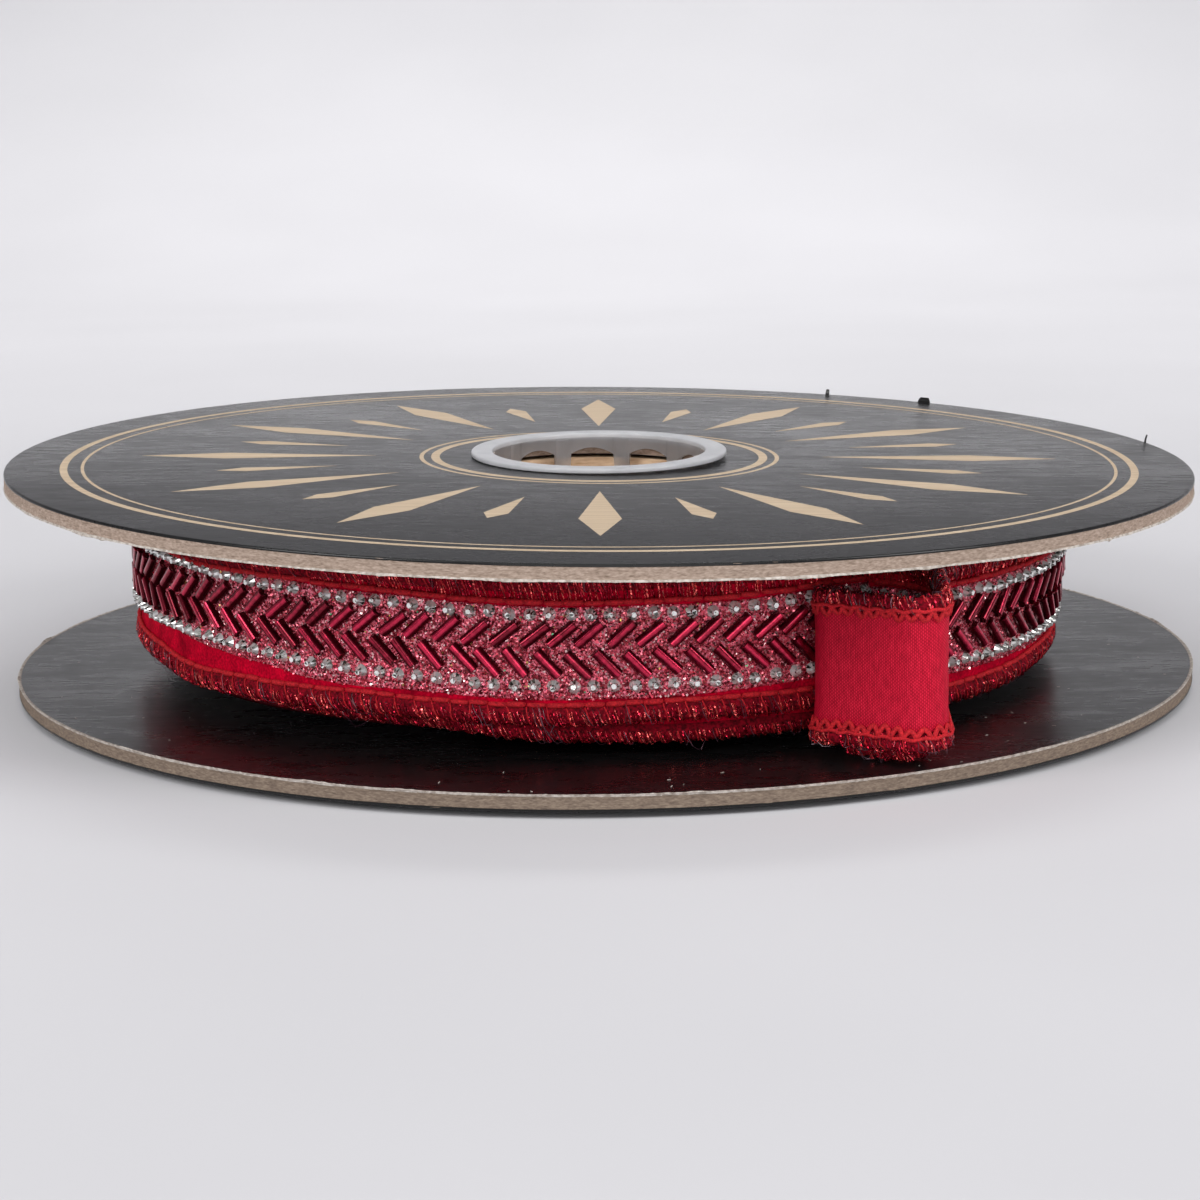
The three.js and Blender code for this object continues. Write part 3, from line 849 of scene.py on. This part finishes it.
def ring_print(matrix):
    """Generic gold print on the upper face: plain rings and a wreath of small lozenges."""
    high = FLANGE["thick"] + PRINT_THICK
    pieces = []
    for inner, outer in PRINTED_RINGS:
        shape = turned_ring(f"gold_ring_{outer:.0f}", inner, outer, high - PRINT_THICK, high, RING_STEPS)
        pieces.append(finish_shape(bowed(shape, BOW["top"]), matrix))
    points, quads, tops = [], [], []
    for i in range(WREATH["count"]):
        turn = 2 * math.pi * i / WREATH["count"]
        near, far, wide = WREATH["near"], WREATH["far"], WREATH["half"]
        if i % 2:
            near, far = near + WREATH["shorter_near"], far - WREATH["shorter_far"]
            wide *= WREATH["shorter_half"]
        middle = (near + far) / 2 + WREATH["widest_beyond_middle"]
        start = len(points)
        for r, across in ((near, 0), (middle, -wide), (far, 0), (middle, wide)):
            rise = BOW["top"] * (FLANGE["radius"] - r) / (FLANGE["radius"] - FLANGE["hole"])
            for z in (high - PRINT_THICK, high):
                points.append((r * math.cos(turn) - across * math.sin(turn),
                               r * math.sin(turn) + across * math.cos(turn), z + rise))
        tops.append([start + 1, start + 3, start + 5, start + 7])
        tops.append([start + 6, start + 4, start + 2, start])
        for k in range(4):
            a, b = start + 2 * k, start + 2 * ((k + 1) % 4)
            quads.append([a, b, b + 1, a + 1])
    wreath = joined_mesh("gold_lozenges", points, np.array(tops + quads))
    wreath.data.transform(matrix)
    pieces.append(wreath)
    for piece in pieces:
        dress(piece, "faced_board", GOLD)


def from_leg(azimuth):
    """Degrees from an azimuth to the middle of the nearest leg of a plug."""
    pitch = FULL / PLUG["legs"]
    return abs((azimuth - PLUG["first_leg"] + pitch / 2) % pitch - pitch / 2)


def skirt_drop(azimuth):
    """Depth of a plug's skirt under its ring: straight legs, with arches between them."""
    away, half_pitch = from_leg(azimuth), FULL / PLUG["legs"] / 2
    if away < PLUG["leg_half"]:
        return PLUG["leg_drop"]
    share = (half_pitch - away) / (half_pitch - PLUG["leg_half"])
    return PLUG["arch_drop"] + PLUG["arch_rise"] * share ** 2


def hub_plug(side, matrix):
    """Snap-in plug: a flat ring with a skirt, cut to legs and arches. z = 0 is the ring's seat."""
    ring = turned_ring(f"{side}_plug_ring", PLUG["bore"], PLUG["ring"], 0, PLUG["thick"], 264,
                       rounded=[("outer high", 0.3), ("inner high", 0.3), ("outer low", 0.12)])
    dress(finish_shape(ring, matrix, 60), "hub_plastic", PLASTIC["ring"], replaces=[f"{side}_hub_plug"])
    deep, bore = PLUG["leg_drop"], PLUG["bore"]
    steps = PLUG["legs"] * 40
    skirt = turned_ring(f"{side}_plug_skirt", bore + 0.02, bore + PLUG["wall"], -deep, -0.02, steps)
    bpy.ops.object.mode_set(mode="OBJECT")
    for vertex in skirt.data.vertices:
        azimuth = math.degrees(math.atan2(vertex.co.x, -vertex.co.y))
        if vertex.co.z < -deep / 2 * MM:
            vertex.co.z = -skirt_drop(azimuth) * MM
        away, radius = from_leg(azimuth), math.hypot(vertex.co.x, vertex.co.y)
        if away < PLUG["leg_half"] and radius < (bore + 0.3) * MM:
            proud = PLUG["leg_proud"] * math.sin(math.pi / 2 * (1 - away / PLUG["leg_half"])) ** 0.3
            share = 1 - proud * MM / radius
            vertex.co.x *= share
            vertex.co.y *= share
    bpy.ops.object.mode_set(mode="EDIT")
    dress(finish_shape(skirt, matrix, 40), "hub_plastic", PLASTIC["skirt"])


def core_tube():
    """Kraft tube between the flanges, cut off to the upper flange's slope."""
    low, high = CARD_TOP + SEAT, TOP["z"] - SEAT
    tube = turned_ring("kraft_core_tube", CORE["bore"], CORE["outer"], low, high, RING_STEPS,
                       rounded=[("inner high", 0.15), ("outer high", 0.15)])
    finish_shape(tube, Matrix.Translation((CORE["x"] * MM, CORE["y"] * MM, 0)))
    fall, rise = (math.tan(math.radians(TOP[k])) for k in ("fall_to_right", "rise_to_back"))
    for vertex in tube.data.vertices:
        if vertex.co.z > (low + high) / 2 * MM:
            vertex.co.z += -vertex.co.x * fall + vertex.co.y * rise
    dress(tube, "kraft_tube", KRAFT, replaces=["core_tube"])


def reel():
    upper = sloping(TOP["z"], TOP)
    flange("top", upper, 5)
    flange("bottom", upside_down(CARD_TOP), 9)
    ring_print(upper)
    rim_flakes(upper)
    dust("dust_on_lower_flange", CARD_TOP, 41)
    core_tube()
    hub_plug("top", sloping(TOP["z"] + FLANGE["thick"] + TOP_PLUG["lift"], TOP_PLUG))
    hub_plug("bottom", upside_down(PLUG["thick"]))


# The ribbon.


def edge_point(angle, swell=1.0):
    """(h, w) on an overlocked edge: angle 0 is its bead side, 90 its lowest line and 180 its back."""
    angle = np.radians(angle)
    return (EDGE["centre"] + EDGE["thick"] * swell * np.cos(angle),
            EDGE["wide"] * (1 - swell * np.sin(angle)))


def cloth_section(edge_steps, face_steps):
    """Closed outline of the ribbon as h, w and its part: 0 for the front, 1 the back, 2 the edges."""
    h_low, w_low = edge_point(np.linspace(248, -66, edge_steps), 0.9)
    w_front = np.linspace(EDGE["line"] + 0.5, WIDTH - EDGE["line"] - 0.5, face_steps)
    w_back = w_front[::-1]
    h = np.concatenate([h_low, np.full(face_steps, CLOTH), h_low[::-1], np.zeros(face_steps)])
    w = np.concatenate([w_low, w_front, WIDTH - w_low[::-1], w_back])
    part = np.repeat([2, 0, 2, 1], [edge_steps - 1, face_steps + 1, edge_steps - 1, face_steps + 1])
    return h, w, part


def cloth_strip(name, s, edge_steps, face_steps, lumps=0.05, pucker=0.0):
    """The ribbon's cloth with both thick edges along s, closed at its ends, in groups by part."""
    h, w, part = cloth_section(edge_steps, face_steps)
    count = len(h)
    grid_s = np.repeat(s[:, None], count, 1)
    grid_h = np.repeat(h[None], len(s), 0)
    grid_w = np.repeat(w[None], len(s), 0)
    at_edge = np.clip((np.abs(grid_w / MIDDLE - 1) - 0.7) / 0.2, 0, 1)
    ripple = np.sin(2 * math.pi * grid_s / STITCH + 3 * (grid_w > MIDDLE))
    grid_h = grid_h + at_edge * lumps * (ripple + wander(grid_s * 3 + grid_w, 8, 7))
    grid_h += 0.06 * wander(grid_s + 2.3 * grid_w, 12, 16) * (1 - at_edge)
    grid_h += pucker * at_edge * np.cos(2 * math.pi * grid_s / STITCH)
    points = on_ribbon(grid_s, grid_w, grid_h).reshape(-1, 3)
    quads = grid_faces(len(s), count, loop_columns=True)
    caps = np.array([np.arange(count), (len(s) - 1) * count + np.arange(count)[::-1]])
    groups = np.concatenate([np.tile(part, len(s) - 1), [2, 2]])
    uv = np.stack([grid_s.ravel(), grid_w.ravel()], 1)
    strip = joined_mesh(name, points, quads, caps, smooth=True, uv=uv, groups=groups)
    activate(strip)
    face_out()
    return strip


def glitter_strip(name, start, stop, step):
    """The film of glitter and glue on the cloth, a little lumpy, with its own uneven lower rim."""
    s = np.arange(start, stop + step / 2, step)
    turned = lay(s)[5]
    low = -eased(GLITTER_LOW, "turned", "down", turned) + 0.12 * wander(s, 31, 9)
    high = GLITTER["top"] + 0.1 * wander(s, 32, 13)
    share = np.concatenate([[0, 0.008, 0.03], np.linspace(0.1, 0.9, 15), [0.97, 0.992, 1]])
    lift = np.concatenate([[0, 0.7, 1], np.ones(15), [1, 0.7, 0]])
    up = low[:, None] + (high - low)[:, None] * share
    w = across_band(s[:, None], up)
    h = CLOTH - 0.02 + GLITTER["thick"] * lift + 0.07 * wander(s[:, None] + 3 * up, 33, 5) * lift
    outside = on_ribbon(s[:, None], w, h)
    inside = on_ribbon(s[:, None], w[:, ::-1], CLOTH - 0.2 + 0 * w)
    points = np.concatenate([outside, inside], 1)
    count = points.shape[1]
    caps = np.array([np.arange(count), (len(s) - 1) * count + np.arange(count)[::-1]])
    strip = joined_mesh(name, points, grid_faces(len(s), count, loop_columns=True), caps, smooth=True)
    return finish_shape(activate(strip))


def scatter_flakes(name, start, stop, a_square):
    """Square flakes of foil at random tilts over the glitter band, so many to a square millimetre."""
    draw = np.random.default_rng(int(abs(start)) + 77)
    count = int((stop - start) * GLITTER["wide"] * a_square)
    s = draw.uniform(start, stop, count)
    low = -eased(GLITTER_LOW, "turned", "down", lay(s)[5]) + 0.1
    up = low + (GLITTER["top"] - low) * draw.random(count)
    centre = on_ribbon(s, across_band(s, up), CLOTH + GLITTER["thick"] + draw.normal(0.03, 0.03, count))
    normal = outward(s) + draw.normal(0, FLAKE["tilt"], (count, 3))
    normal /= np.linalg.norm(normal, axis=1, keepdims=True)
    first = np.cross(normal, draw.normal(0, 1, (count, 3)))
    first /= np.linalg.norm(first, axis=1, keepdims=True)
    second = np.cross(normal, first)
    half = FLAKE["size"] / 2 * draw.uniform(0.7, 1.25, (count, 1))
    corners = [centre + half * (a * first + b * second) for a, b in ((-1, -1), (1, -1), (1, 1), (-1, 1))]
    points = np.stack(corners, 1)
    quads = np.arange(count * 4).reshape(-1, 4)
    tint = np.repeat(draw.random(count), 4)
    return joined_mesh(name, points, quads, attributes={"tint": tint})


def stone_template():
    """A round stone with ten lower facets, a twisted crown and a small table."""
    radius, high = STONE["radius"], STONE["high"]
    stone = add_primitive("cylinder", "stone", vertices=10, radius=radius * MM, depth=0.25 * MM,
                          location=(0, 0, 0.125 * MM))
    for share, z in ((0.76, 0.62 * high), (0.4, high)):
        top = max(v.co.z for v in stone.data.vertices) / MM
        pick(stone, "FACE", lambda p: p.z > top - 0.01)
        bpy.ops.mesh.extrude_region_move(TRANSFORM_OT_translate={"value": (0, 0, (z - top) * MM)})
        bpy.ops.transform.resize(value=(share if share > 0.5 else share / 0.76,) * 2 + (1,))
        bpy.ops.transform.rotate(value=math.pi / 10, orient_axis="Z", center_override=(0, 0, z * MM))
    bpy.ops.mesh.select_all(action="SELECT")
    bpy.ops.mesh.quads_convert_to_tris()
    face_out()
    return template(stone)


def bead_template():
    """A cut glass tube along X with a bore at each end, its ends a little rounded."""
    length, radius, hole = BEAD["long"], BEAD["radius"], BEAD["hole"]
    bead = add_primitive("cylinder", "bead", vertices=12, radius=radius * MM, depth=length * MM,
                         rotation=(0, math.pi / 2, 0))
    bpy.ops.object.mode_set(mode="OBJECT")
    bpy.ops.object.transform_apply(rotation=True)
    bpy.ops.object.mode_set(mode="EDIT")
    pick(bead, "FACE", lambda p: abs(p.x) > length / 2 - 0.01)
    bpy.ops.mesh.inset(thickness=BEAD["wall"] * MM)
    bpy.ops.transform.resize(value=(1 + 0.1 / length * 2, 1, 1))
    bpy.ops.mesh.inset(thickness=(radius - BEAD["wall"] - hole) * MM)
    bpy.ops.transform.resize(value=(1 - 0.8 / length, 1, 1))
    face_out()
    return template(bead)


def frames_at(s, tilt, spin, draw):
    """Directions for small pieces on the ribbon: x against s, y up and z off it, spun and tilted."""
    z = outward(s) + draw.normal(0, tilt, (len(s), 3))
    z /= np.linalg.norm(z, axis=1, keepdims=True)
    x0 = -along(s)
    x0 = x0 - z * (x0 * z).sum(1, keepdims=True)
    x0 /= np.linalg.norm(x0, axis=1, keepdims=True)
    y0 = np.cross(z, x0)
    c, d = np.cos(spin)[:, None], np.sin(spin)[:, None]
    return np.stack([c * x0 + d * y0, -d * x0 + c * y0, z], 1)


def rhinestones(name, start, stop, shape):
    """Two rows of stones along the glitter band, a little uneven, with one stone missing."""
    draw = np.random.default_rng(int(abs(start)) + 5)
    rows = []
    for side, first in ((1, STONE["first"]), (-1, STONE["first_low"])):
        s = np.arange(start + first, stop, STONE["pitch"])
        s = s + draw.normal(0, 0.16, len(s)) + 0.3 * wander(s, 40 + side, 60)
        if side > 0:
            s = s[np.abs(s - MISSING_STONE) > STONE["pitch"] / 2]
        rows.append((s, side * STONE["up"] + draw.normal(0, 0.1, len(s))))
    s, up = (np.concatenate(v) for v in zip(*rows))
    places = on_ribbon(s, across_band(s, up), CLOTH + GLITTER["thick"] - 0.08)
    stones = copies(name, shape, places, frames_at(s, 0.06, draw.uniform(0, 6.3, len(s)), draw))
    # A random level for each facet, which the glass turns into a painted reflection.
    cut = stones.data.attributes.new("cut", "FLOAT", "FACE")
    cut.data.foreach_set("value", draw.random(len(stones.data.polygons)).astype(np.float32))
    return stones


def bugle_beads(name, start, stop, shape):
    """Two rows of slanting beads that meet in chevrons. Each point also carries how far it is up its bead,
    off the ribbon, for the glass's painted highlight.
    """
    draw = np.random.default_rng(int(abs(start)) + 15)
    rows = []
    for bead in (UPPER_BEAD, LOWER_BEAD):
        s = np.arange(start + bead["first"], stop - 1, BEAD["pitch"])
        s = s + draw.normal(0, 0.26, len(s))
        run = bead["run"] + draw.normal(0, 0.3, len(s))
        up = (bead["inner"] + bead["outer"]) / 2 + draw.normal(0, 0.14, len(s))
        rows.append((s - run / 2, up, np.arctan2(bead["outer"] - bead["inner"], run)))
    s, up, spin = (np.concatenate(v) for v in zip(*rows))
    axis = np.where(s < 0, BEAD["axis_in_curl"], BEAD["axis"])
    places = on_ribbon(s, across_band(s, up), axis)
    beads = copies(name, shape, places, frames_at(s, 0.035, spin, draw), {"tint": draw.random(len(s))},
                   local={"painted_highlight_crest": shape[0][:, 2] / BEAD["radius"]})
    activate(beads, "OBJECT")
    bpy.ops.object.shade_smooth_by_angle(angle=math.radians(50))
    return beads


def needle_place(s, side):
    """Distance of the needle line from its own edge of the ribbon, along s."""
    if side < 0:
        return np.full_like(s, EDGE["line"] + 0.1)
    return np.maximum(WIDTH - across_band(s, NEEDLE_UP), EDGE["line"])


def edge_threads(s, slant, angles, side, lift, draw, jitter=0.0, from_needle=False):
    """Lines (count, steps, 3) and their outward directions for threads wrapped round an edge.

    side is 1 for the upper edge and -1 for the lower; slant is how far they run along the ribbon."""
    steps = len(angles)
    share = np.linspace(0, 1, steps)
    bow = 0.3 + 0.7 * np.sin(math.pi * share) ** 0.5
    swell = 1 + np.reshape(lift, (-1, 1)) * bow + draw.normal(0, jitter, (len(s), steps))
    h, w = edge_point(angles[None], swell)
    h_in, w_in = edge_point(angles[None], swell - 0.3)
    line_s = s[:, None] + side * slant[:, None] * share + draw.normal(0, jitter * 1.2, (len(s), steps))
    if from_needle:
        reach = needle_place(s, side)
        w[:, 0], w[:, 1] = reach, (reach + w[:, 2]) / 2
        h[:, 0], h[:, 1] = 0.95, 1.25
    if side > 0:
        w, w_in = WIDTH - w, WIDTH - w_in
    lines = on_ribbon(line_s, w, h)
    ups = lines - on_ribbon(line_s, w_in, h_in)
    return lines, ups


def overlock(name, start, stop, bead_side, tangle=1.0):
    """Both overlocked edges over a stretch of ribbon: tinsel, filament and sewing thread.

    bead_side adds the needle thread, and tangle loosens and thickens the strands."""
    draw = np.random.default_rng(int(abs(start)) + 101)
    tinsel, filament, thread = [], [], []
    shades = [[], []]
    wrap = WRAP[bead_side]
    for side in (-1, 1):
        yarn = TINSEL_YARN
        s = np.arange(start + 0.6, stop - 0.6, STITCH / yarn["a_stitch"])
        fat = 0.02 + yarn["bulge"] * np.cos(2 * math.pi * s / STITCH)
        s = s + draw.normal(0, 0.12 * tangle, len(s))
        slant = draw.normal(yarn["run"], 0.6 * tangle, len(s))
        lines, ups = edge_threads(s, slant, wrap, side, fat, draw, 0.05 * tangle, from_needle=bead_side)
        ups = ups / np.linalg.norm(ups, axis=2, keepdims=True) + draw.normal(0, yarn["twist"], ups.shape)
        wide = draw.uniform(*yarn["half"], len(s))[:, None] * draw.uniform(0.6, 1.3, (len(s), len(wrap)))
        tinsel.append(thread_mesh(lines, ups, wide, yarn["thick"], sides=4))
        shades[0].append(draw.random(len(s)))

        yarn = FILAMENT_YARN
        count = int((stop - start) / STITCH * yarn["a_stitch"] * tangle)
        s = draw.uniform(start + 0.8, stop - 0.8, count)
        stray = draw.random(count) < yarn["stray"]
        lift = np.where(stray, draw.uniform(0.5, 1.0, count), draw.uniform(0.15, 0.28, count))
        slant = draw.normal(yarn["run"], 1.6 * tangle, count)
        lines, ups = edge_threads(s, slant, wrap, side, lift, draw, 0.08 * tangle)
        filament.append(thread_mesh(lines, ups, yarn["half"], sides=3))
        shades[1].append(draw.random(count))

        yarn = WRAP_THREAD
        s = np.arange(start + 0.9, stop - 0.9, STITCH)
        s = s + draw.normal(0, 0.12, len(s))
        slant = draw.normal(yarn["run"], 0.5, len(s))
        lines, ups = edge_threads(s, slant, wrap, side, -0.02, draw, 0.06 * tangle)
        thread.append(thread_mesh(lines, ups, yarn["half"], yarn["thick"], sides=5))
        if bead_side:
            thread.append(needle_line(s, side, draw))
    tints = [{"tint": per_thread(parts, values)} for parts, values in zip((tinsel, filament), shades)]
    made = [joined_threads(f"{name}_tinsel", *tinsel, attributes=tints[0]),
            joined_threads(f"{name}_filament", *filament, attributes=tints[1]),
            joined_threads(f"{name}_thread", *thread, smooth=True)]
    for piece, finish in zip(made, (TINSEL, NYLON, THREAD)):
        dress(piece, "beaded_ribbon", finish)
    return made


def needle_line(s, side, draw):
    """Fat dashes of needle thread on the bead side, each sunk into the pile at its ends."""
    share = np.linspace(0, 1, 9)
    bow = np.sin(math.pi * share)
    line_s = s[:, None] + STITCH * 0.97 * share
    w = needle_place(s, side)[:, None] + draw.normal(0, 0.06, (len(s), 1))
    w = w if side < 0 else WIDTH - w
    h = NEEDLE_THREAD["up"] + NEEDLE_THREAD["bow"] * bow ** 0.4 + draw.normal(0, 0.03, (len(s), 1))
    lines = on_ribbon(line_s, w + 0 * line_s, h + 0 * line_s)
    wide = (NEEDLE_THREAD["half"] + NEEDLE_THREAD["swell"] * bow ** 0.4) * draw.uniform(0.9, 1.1, (len(s), 1))
    return thread_mesh(lines, outward(line_s), wide, wide * 0.8, sides=5)


def back_loops(name, start, stop):
    """The sewing on the plain back: V-shaped loops hung on a wavy line, along both edges."""
    draw = np.random.default_rng(64)
    pitch = LOOP["pitch"]
    parts = []
    for side in (-1, 1):
        s = np.arange(start + 1.5, stop - 2, pitch)
        s = s + draw.normal(0, 0.1, len(s))
        share = np.linspace(-1, 1, 9)
        deep = LOOP["deep"] + draw.uniform(1.0, 1.7, (len(s), 1)) * (1 - np.abs(share) ** 1.3)
        spread = pitch * 0.46 * np.sign(share) * np.abs(share) ** 0.8
        line_s = s[:, None] + spread + draw.normal(0, 0.04, (len(s), 9))
        w = deep + draw.normal(0, 0.08, (len(s), 1))
        h = -0.08 - 0.24 * np.abs(share)[None] + 0 * line_s
        lines = on_ribbon(line_s, w if side < 0 else WIDTH - w, h)
        parts.append(thread_mesh(lines, -outward(line_s), LOOP["half"], LOOP["thick"], sides=5))
        run = np.arange(start + 0.5, stop - 0.5, 0.45)[None]
        wave = 2.25 + 0.14 * np.sin(2 * math.pi * run / STITCH) + 0.08 * wander(run, 50 + side, 6)
        lines = on_ribbon(run, wave if side < 0 else WIDTH - wave, -0.42 + 0 * run)
        parts.append(thread_mesh(lines, -outward(run), 0.32, 0.27, sides=5))
    return joined_threads(name, *parts, smooth=True)


def older_turns():
    """The turns under the two that show, each a little higher or lower than the next."""
    s = np.arange(TURN_ENDS[SHOWN_TURNS], TURN_ENDS[ALL_TURNS] - 1, 8.0)
    dress(cloth_strip("older_turns", s, 5, 2, lumps=0.12), "beaded_ribbon", VELVET, WEAVE, CORD)


def winding():
    """The two outer turns in full, over the older ones. Only the outer one's beads show."""
    first, second = TURN_ENDS[1], TURN_ENDS[2]
    cloth = cloth_strip("wound_ribbon", np.arange(0, second, 1.05), 12, 5)
    dress(cloth, "beaded_ribbon", VELVET, WEAVE, CORD, replaces=["ribbon_roll"])
    older_turns()
    stop = first + 8
    dress(glitter_strip("glitter_band", 0.0, stop, 0.8), "beaded_ribbon", FILM)
    dress(scatter_flakes("glitter_flakes", 0.0, stop, FLAKE["a_square"]), "beaded_ribbon", FLAKES)
    dress(rhinestones("rhinestones", 0.0, stop, stone_template()), "beaded_ribbon", CRYSTAL)
    dress(bugle_beads("bugle_beads", 0.0, stop, bead_template()), "beaded_ribbon", GARNET)
    overlock("outer_turn", 0.0, first, True)
    overlock("second_turn", first, second, False)


def loose_end():
    """The ribbon's end, curled into a flattened scroll with its plain back outwards."""
    cloth = cloth_strip("loose_end_cloth", np.arange(-END_LENGTH, 0.01, 0.3), 14, 16, pucker=0.05)
    dress(cloth, "ribbon_back", VELVET, WEAVE, CORD, replaces=["ribbon_end"])
    pieces = overlock("loose_end", -END_LENGTH, 0.0, True, tangle=1.8)
    loops = dress(back_loops("loose_end_back_loops", -END_LENGTH, 0.0), "ribbon_back", THREAD)
    beaded = -END_LEGS["length"][:3].sum()  # only the part next to the roll shows its front
    band = glitter_strip("loose_end_glitter", -END_LENGTH + 0.5, 0.0, 0.5)
    flakes = scatter_flakes("loose_end_flakes", -END_LENGTH + 1, 0.0, FLAKE["a_square_in_curl"])
    stones = rhinestones("loose_end_stones", beaded, 0.0, stone_template())
    beads = bugle_beads("loose_end_beads", beaded, 0.0, bead_template())
    for piece, finish in ((band, FILM), (flakes, FLAKES), (stones, CRYSTAL), (beads, GARNET)):
        dress(piece, "beaded_ribbon", finish)


# The studio.


# The camera's place in metres, and its angles in degrees.
CAMERA = {"place": (-0.00086, -0.5445, 0.11868), "down": 10.9637, "roll": -0.76754, "sensor": 36.0,
          "lens": 87.37}
# Each light's place and target in metres, its two sides and its power in watts.
SOFTBOXES = {
    "left_softbox": ((-0.95, -0.75, 0.68), (0, 0, 0.02), (0.55, 0.6), 7.6),
    "right_softbox": ((1.05, -0.55, 0.72), (0, 0, 0.02), (0.5, 0.7), 8.0),
    "front_fill": ((0.1, -1.5, 0.35), (0, 0, 0.02), (1.2, 0.5), 4.9),
    "top_softbox": ((0, -0.7, 1.2), (0, 0, 0), (1.4, 0.9), 6.2),
}


def camera():
    """The photograph's camera: a long lens, a little above the reel."""
    pitch, roll = math.radians(CAMERA["down"]), math.radians(CAMERA["roll"])
    forward = Vector((0, math.cos(pitch), -math.sin(pitch)))
    up = Vector((0, math.sin(pitch), math.cos(pitch)))
    right = Vector((1, 0, 0))
    tilted_right = right * math.cos(roll) + up * math.sin(roll)
    tilted_up = up * math.cos(roll) - right * math.sin(roll)
    data = bpy.data.cameras.new("studio_camera")
    data.sensor_width, data.lens = CAMERA["sensor"], CAMERA["lens"]
    data.clip_start, data.clip_end = 0.01, 20
    made = bpy.data.objects.new("studio_camera", data)
    bpy.context.collection.objects.link(made)
    turn = Matrix((tilted_right, tilted_up, -forward)).transposed().to_4x4()
    made.matrix_world = Matrix.Translation(CAMERA["place"]) @ turn
    bpy.context.scene.camera = made


def softbox(name, place, target, size, power, spread=180.0):
    data = bpy.data.lights.new(name, "AREA")
    data.shape, data.size, data.size_y = "RECTANGLE", size[0], size[1]
    data.energy, data.spread = power, math.radians(spread)
    made = bpy.data.objects.new(name, data)
    bpy.context.collection.objects.link(made)
    made.location = place
    made.rotation_euler = (Vector(target) - Vector(place)).to_track_quat("-Z", "Y").to_euler()


def backdrop():
    """A paper sweep, in metres: level under the reel, curving up behind it."""
    half, front, bend, radius, top, steps = 2.6, -1.6, 0.75, 0.9, 2.4, 24
    profile = [(front, 0.0), (bend, 0.0)]
    for i in range(1, steps + 1):
        turn = math.pi / 2 * i / steps
        profile.append((bend + radius * math.sin(turn), radius * (1 - math.cos(turn))))
    profile.append((bend + radius, top))
    points = [(x / MM, y / MM, z / MM) for y, z in profile for x in (half, -half)]
    sweep = joined_mesh("paper_sweep", points, grid_faces(len(profile), 2), smooth=True)
    sweep.data.materials.append(sweep_paper())


def studio():
    backdrop()
    world = bpy.data.worlds.new("studio_air")
    bpy.context.scene.world = world
    world.use_nodes = True
    air = world.node_tree.nodes["Background"]
    air.inputs["Color"].default_value = linear("#f4f4f8")
    air.inputs["Strength"].default_value = 0.28
    for name, setting in SOFTBOXES.items():
        softbox(name, *setting)
    # Its narrow spread keeps this one off the reel.
    softbox("backdrop_light", (0, 0.8, 1.25), (0, 0.87, 0), (1.0, 0.3), 4.2, spread=100.0)
    view = bpy.context.scene.view_settings
    view.view_transform, view.look = "Standard", "None"


camera()
studio()
reel()
winding()
loose_end()
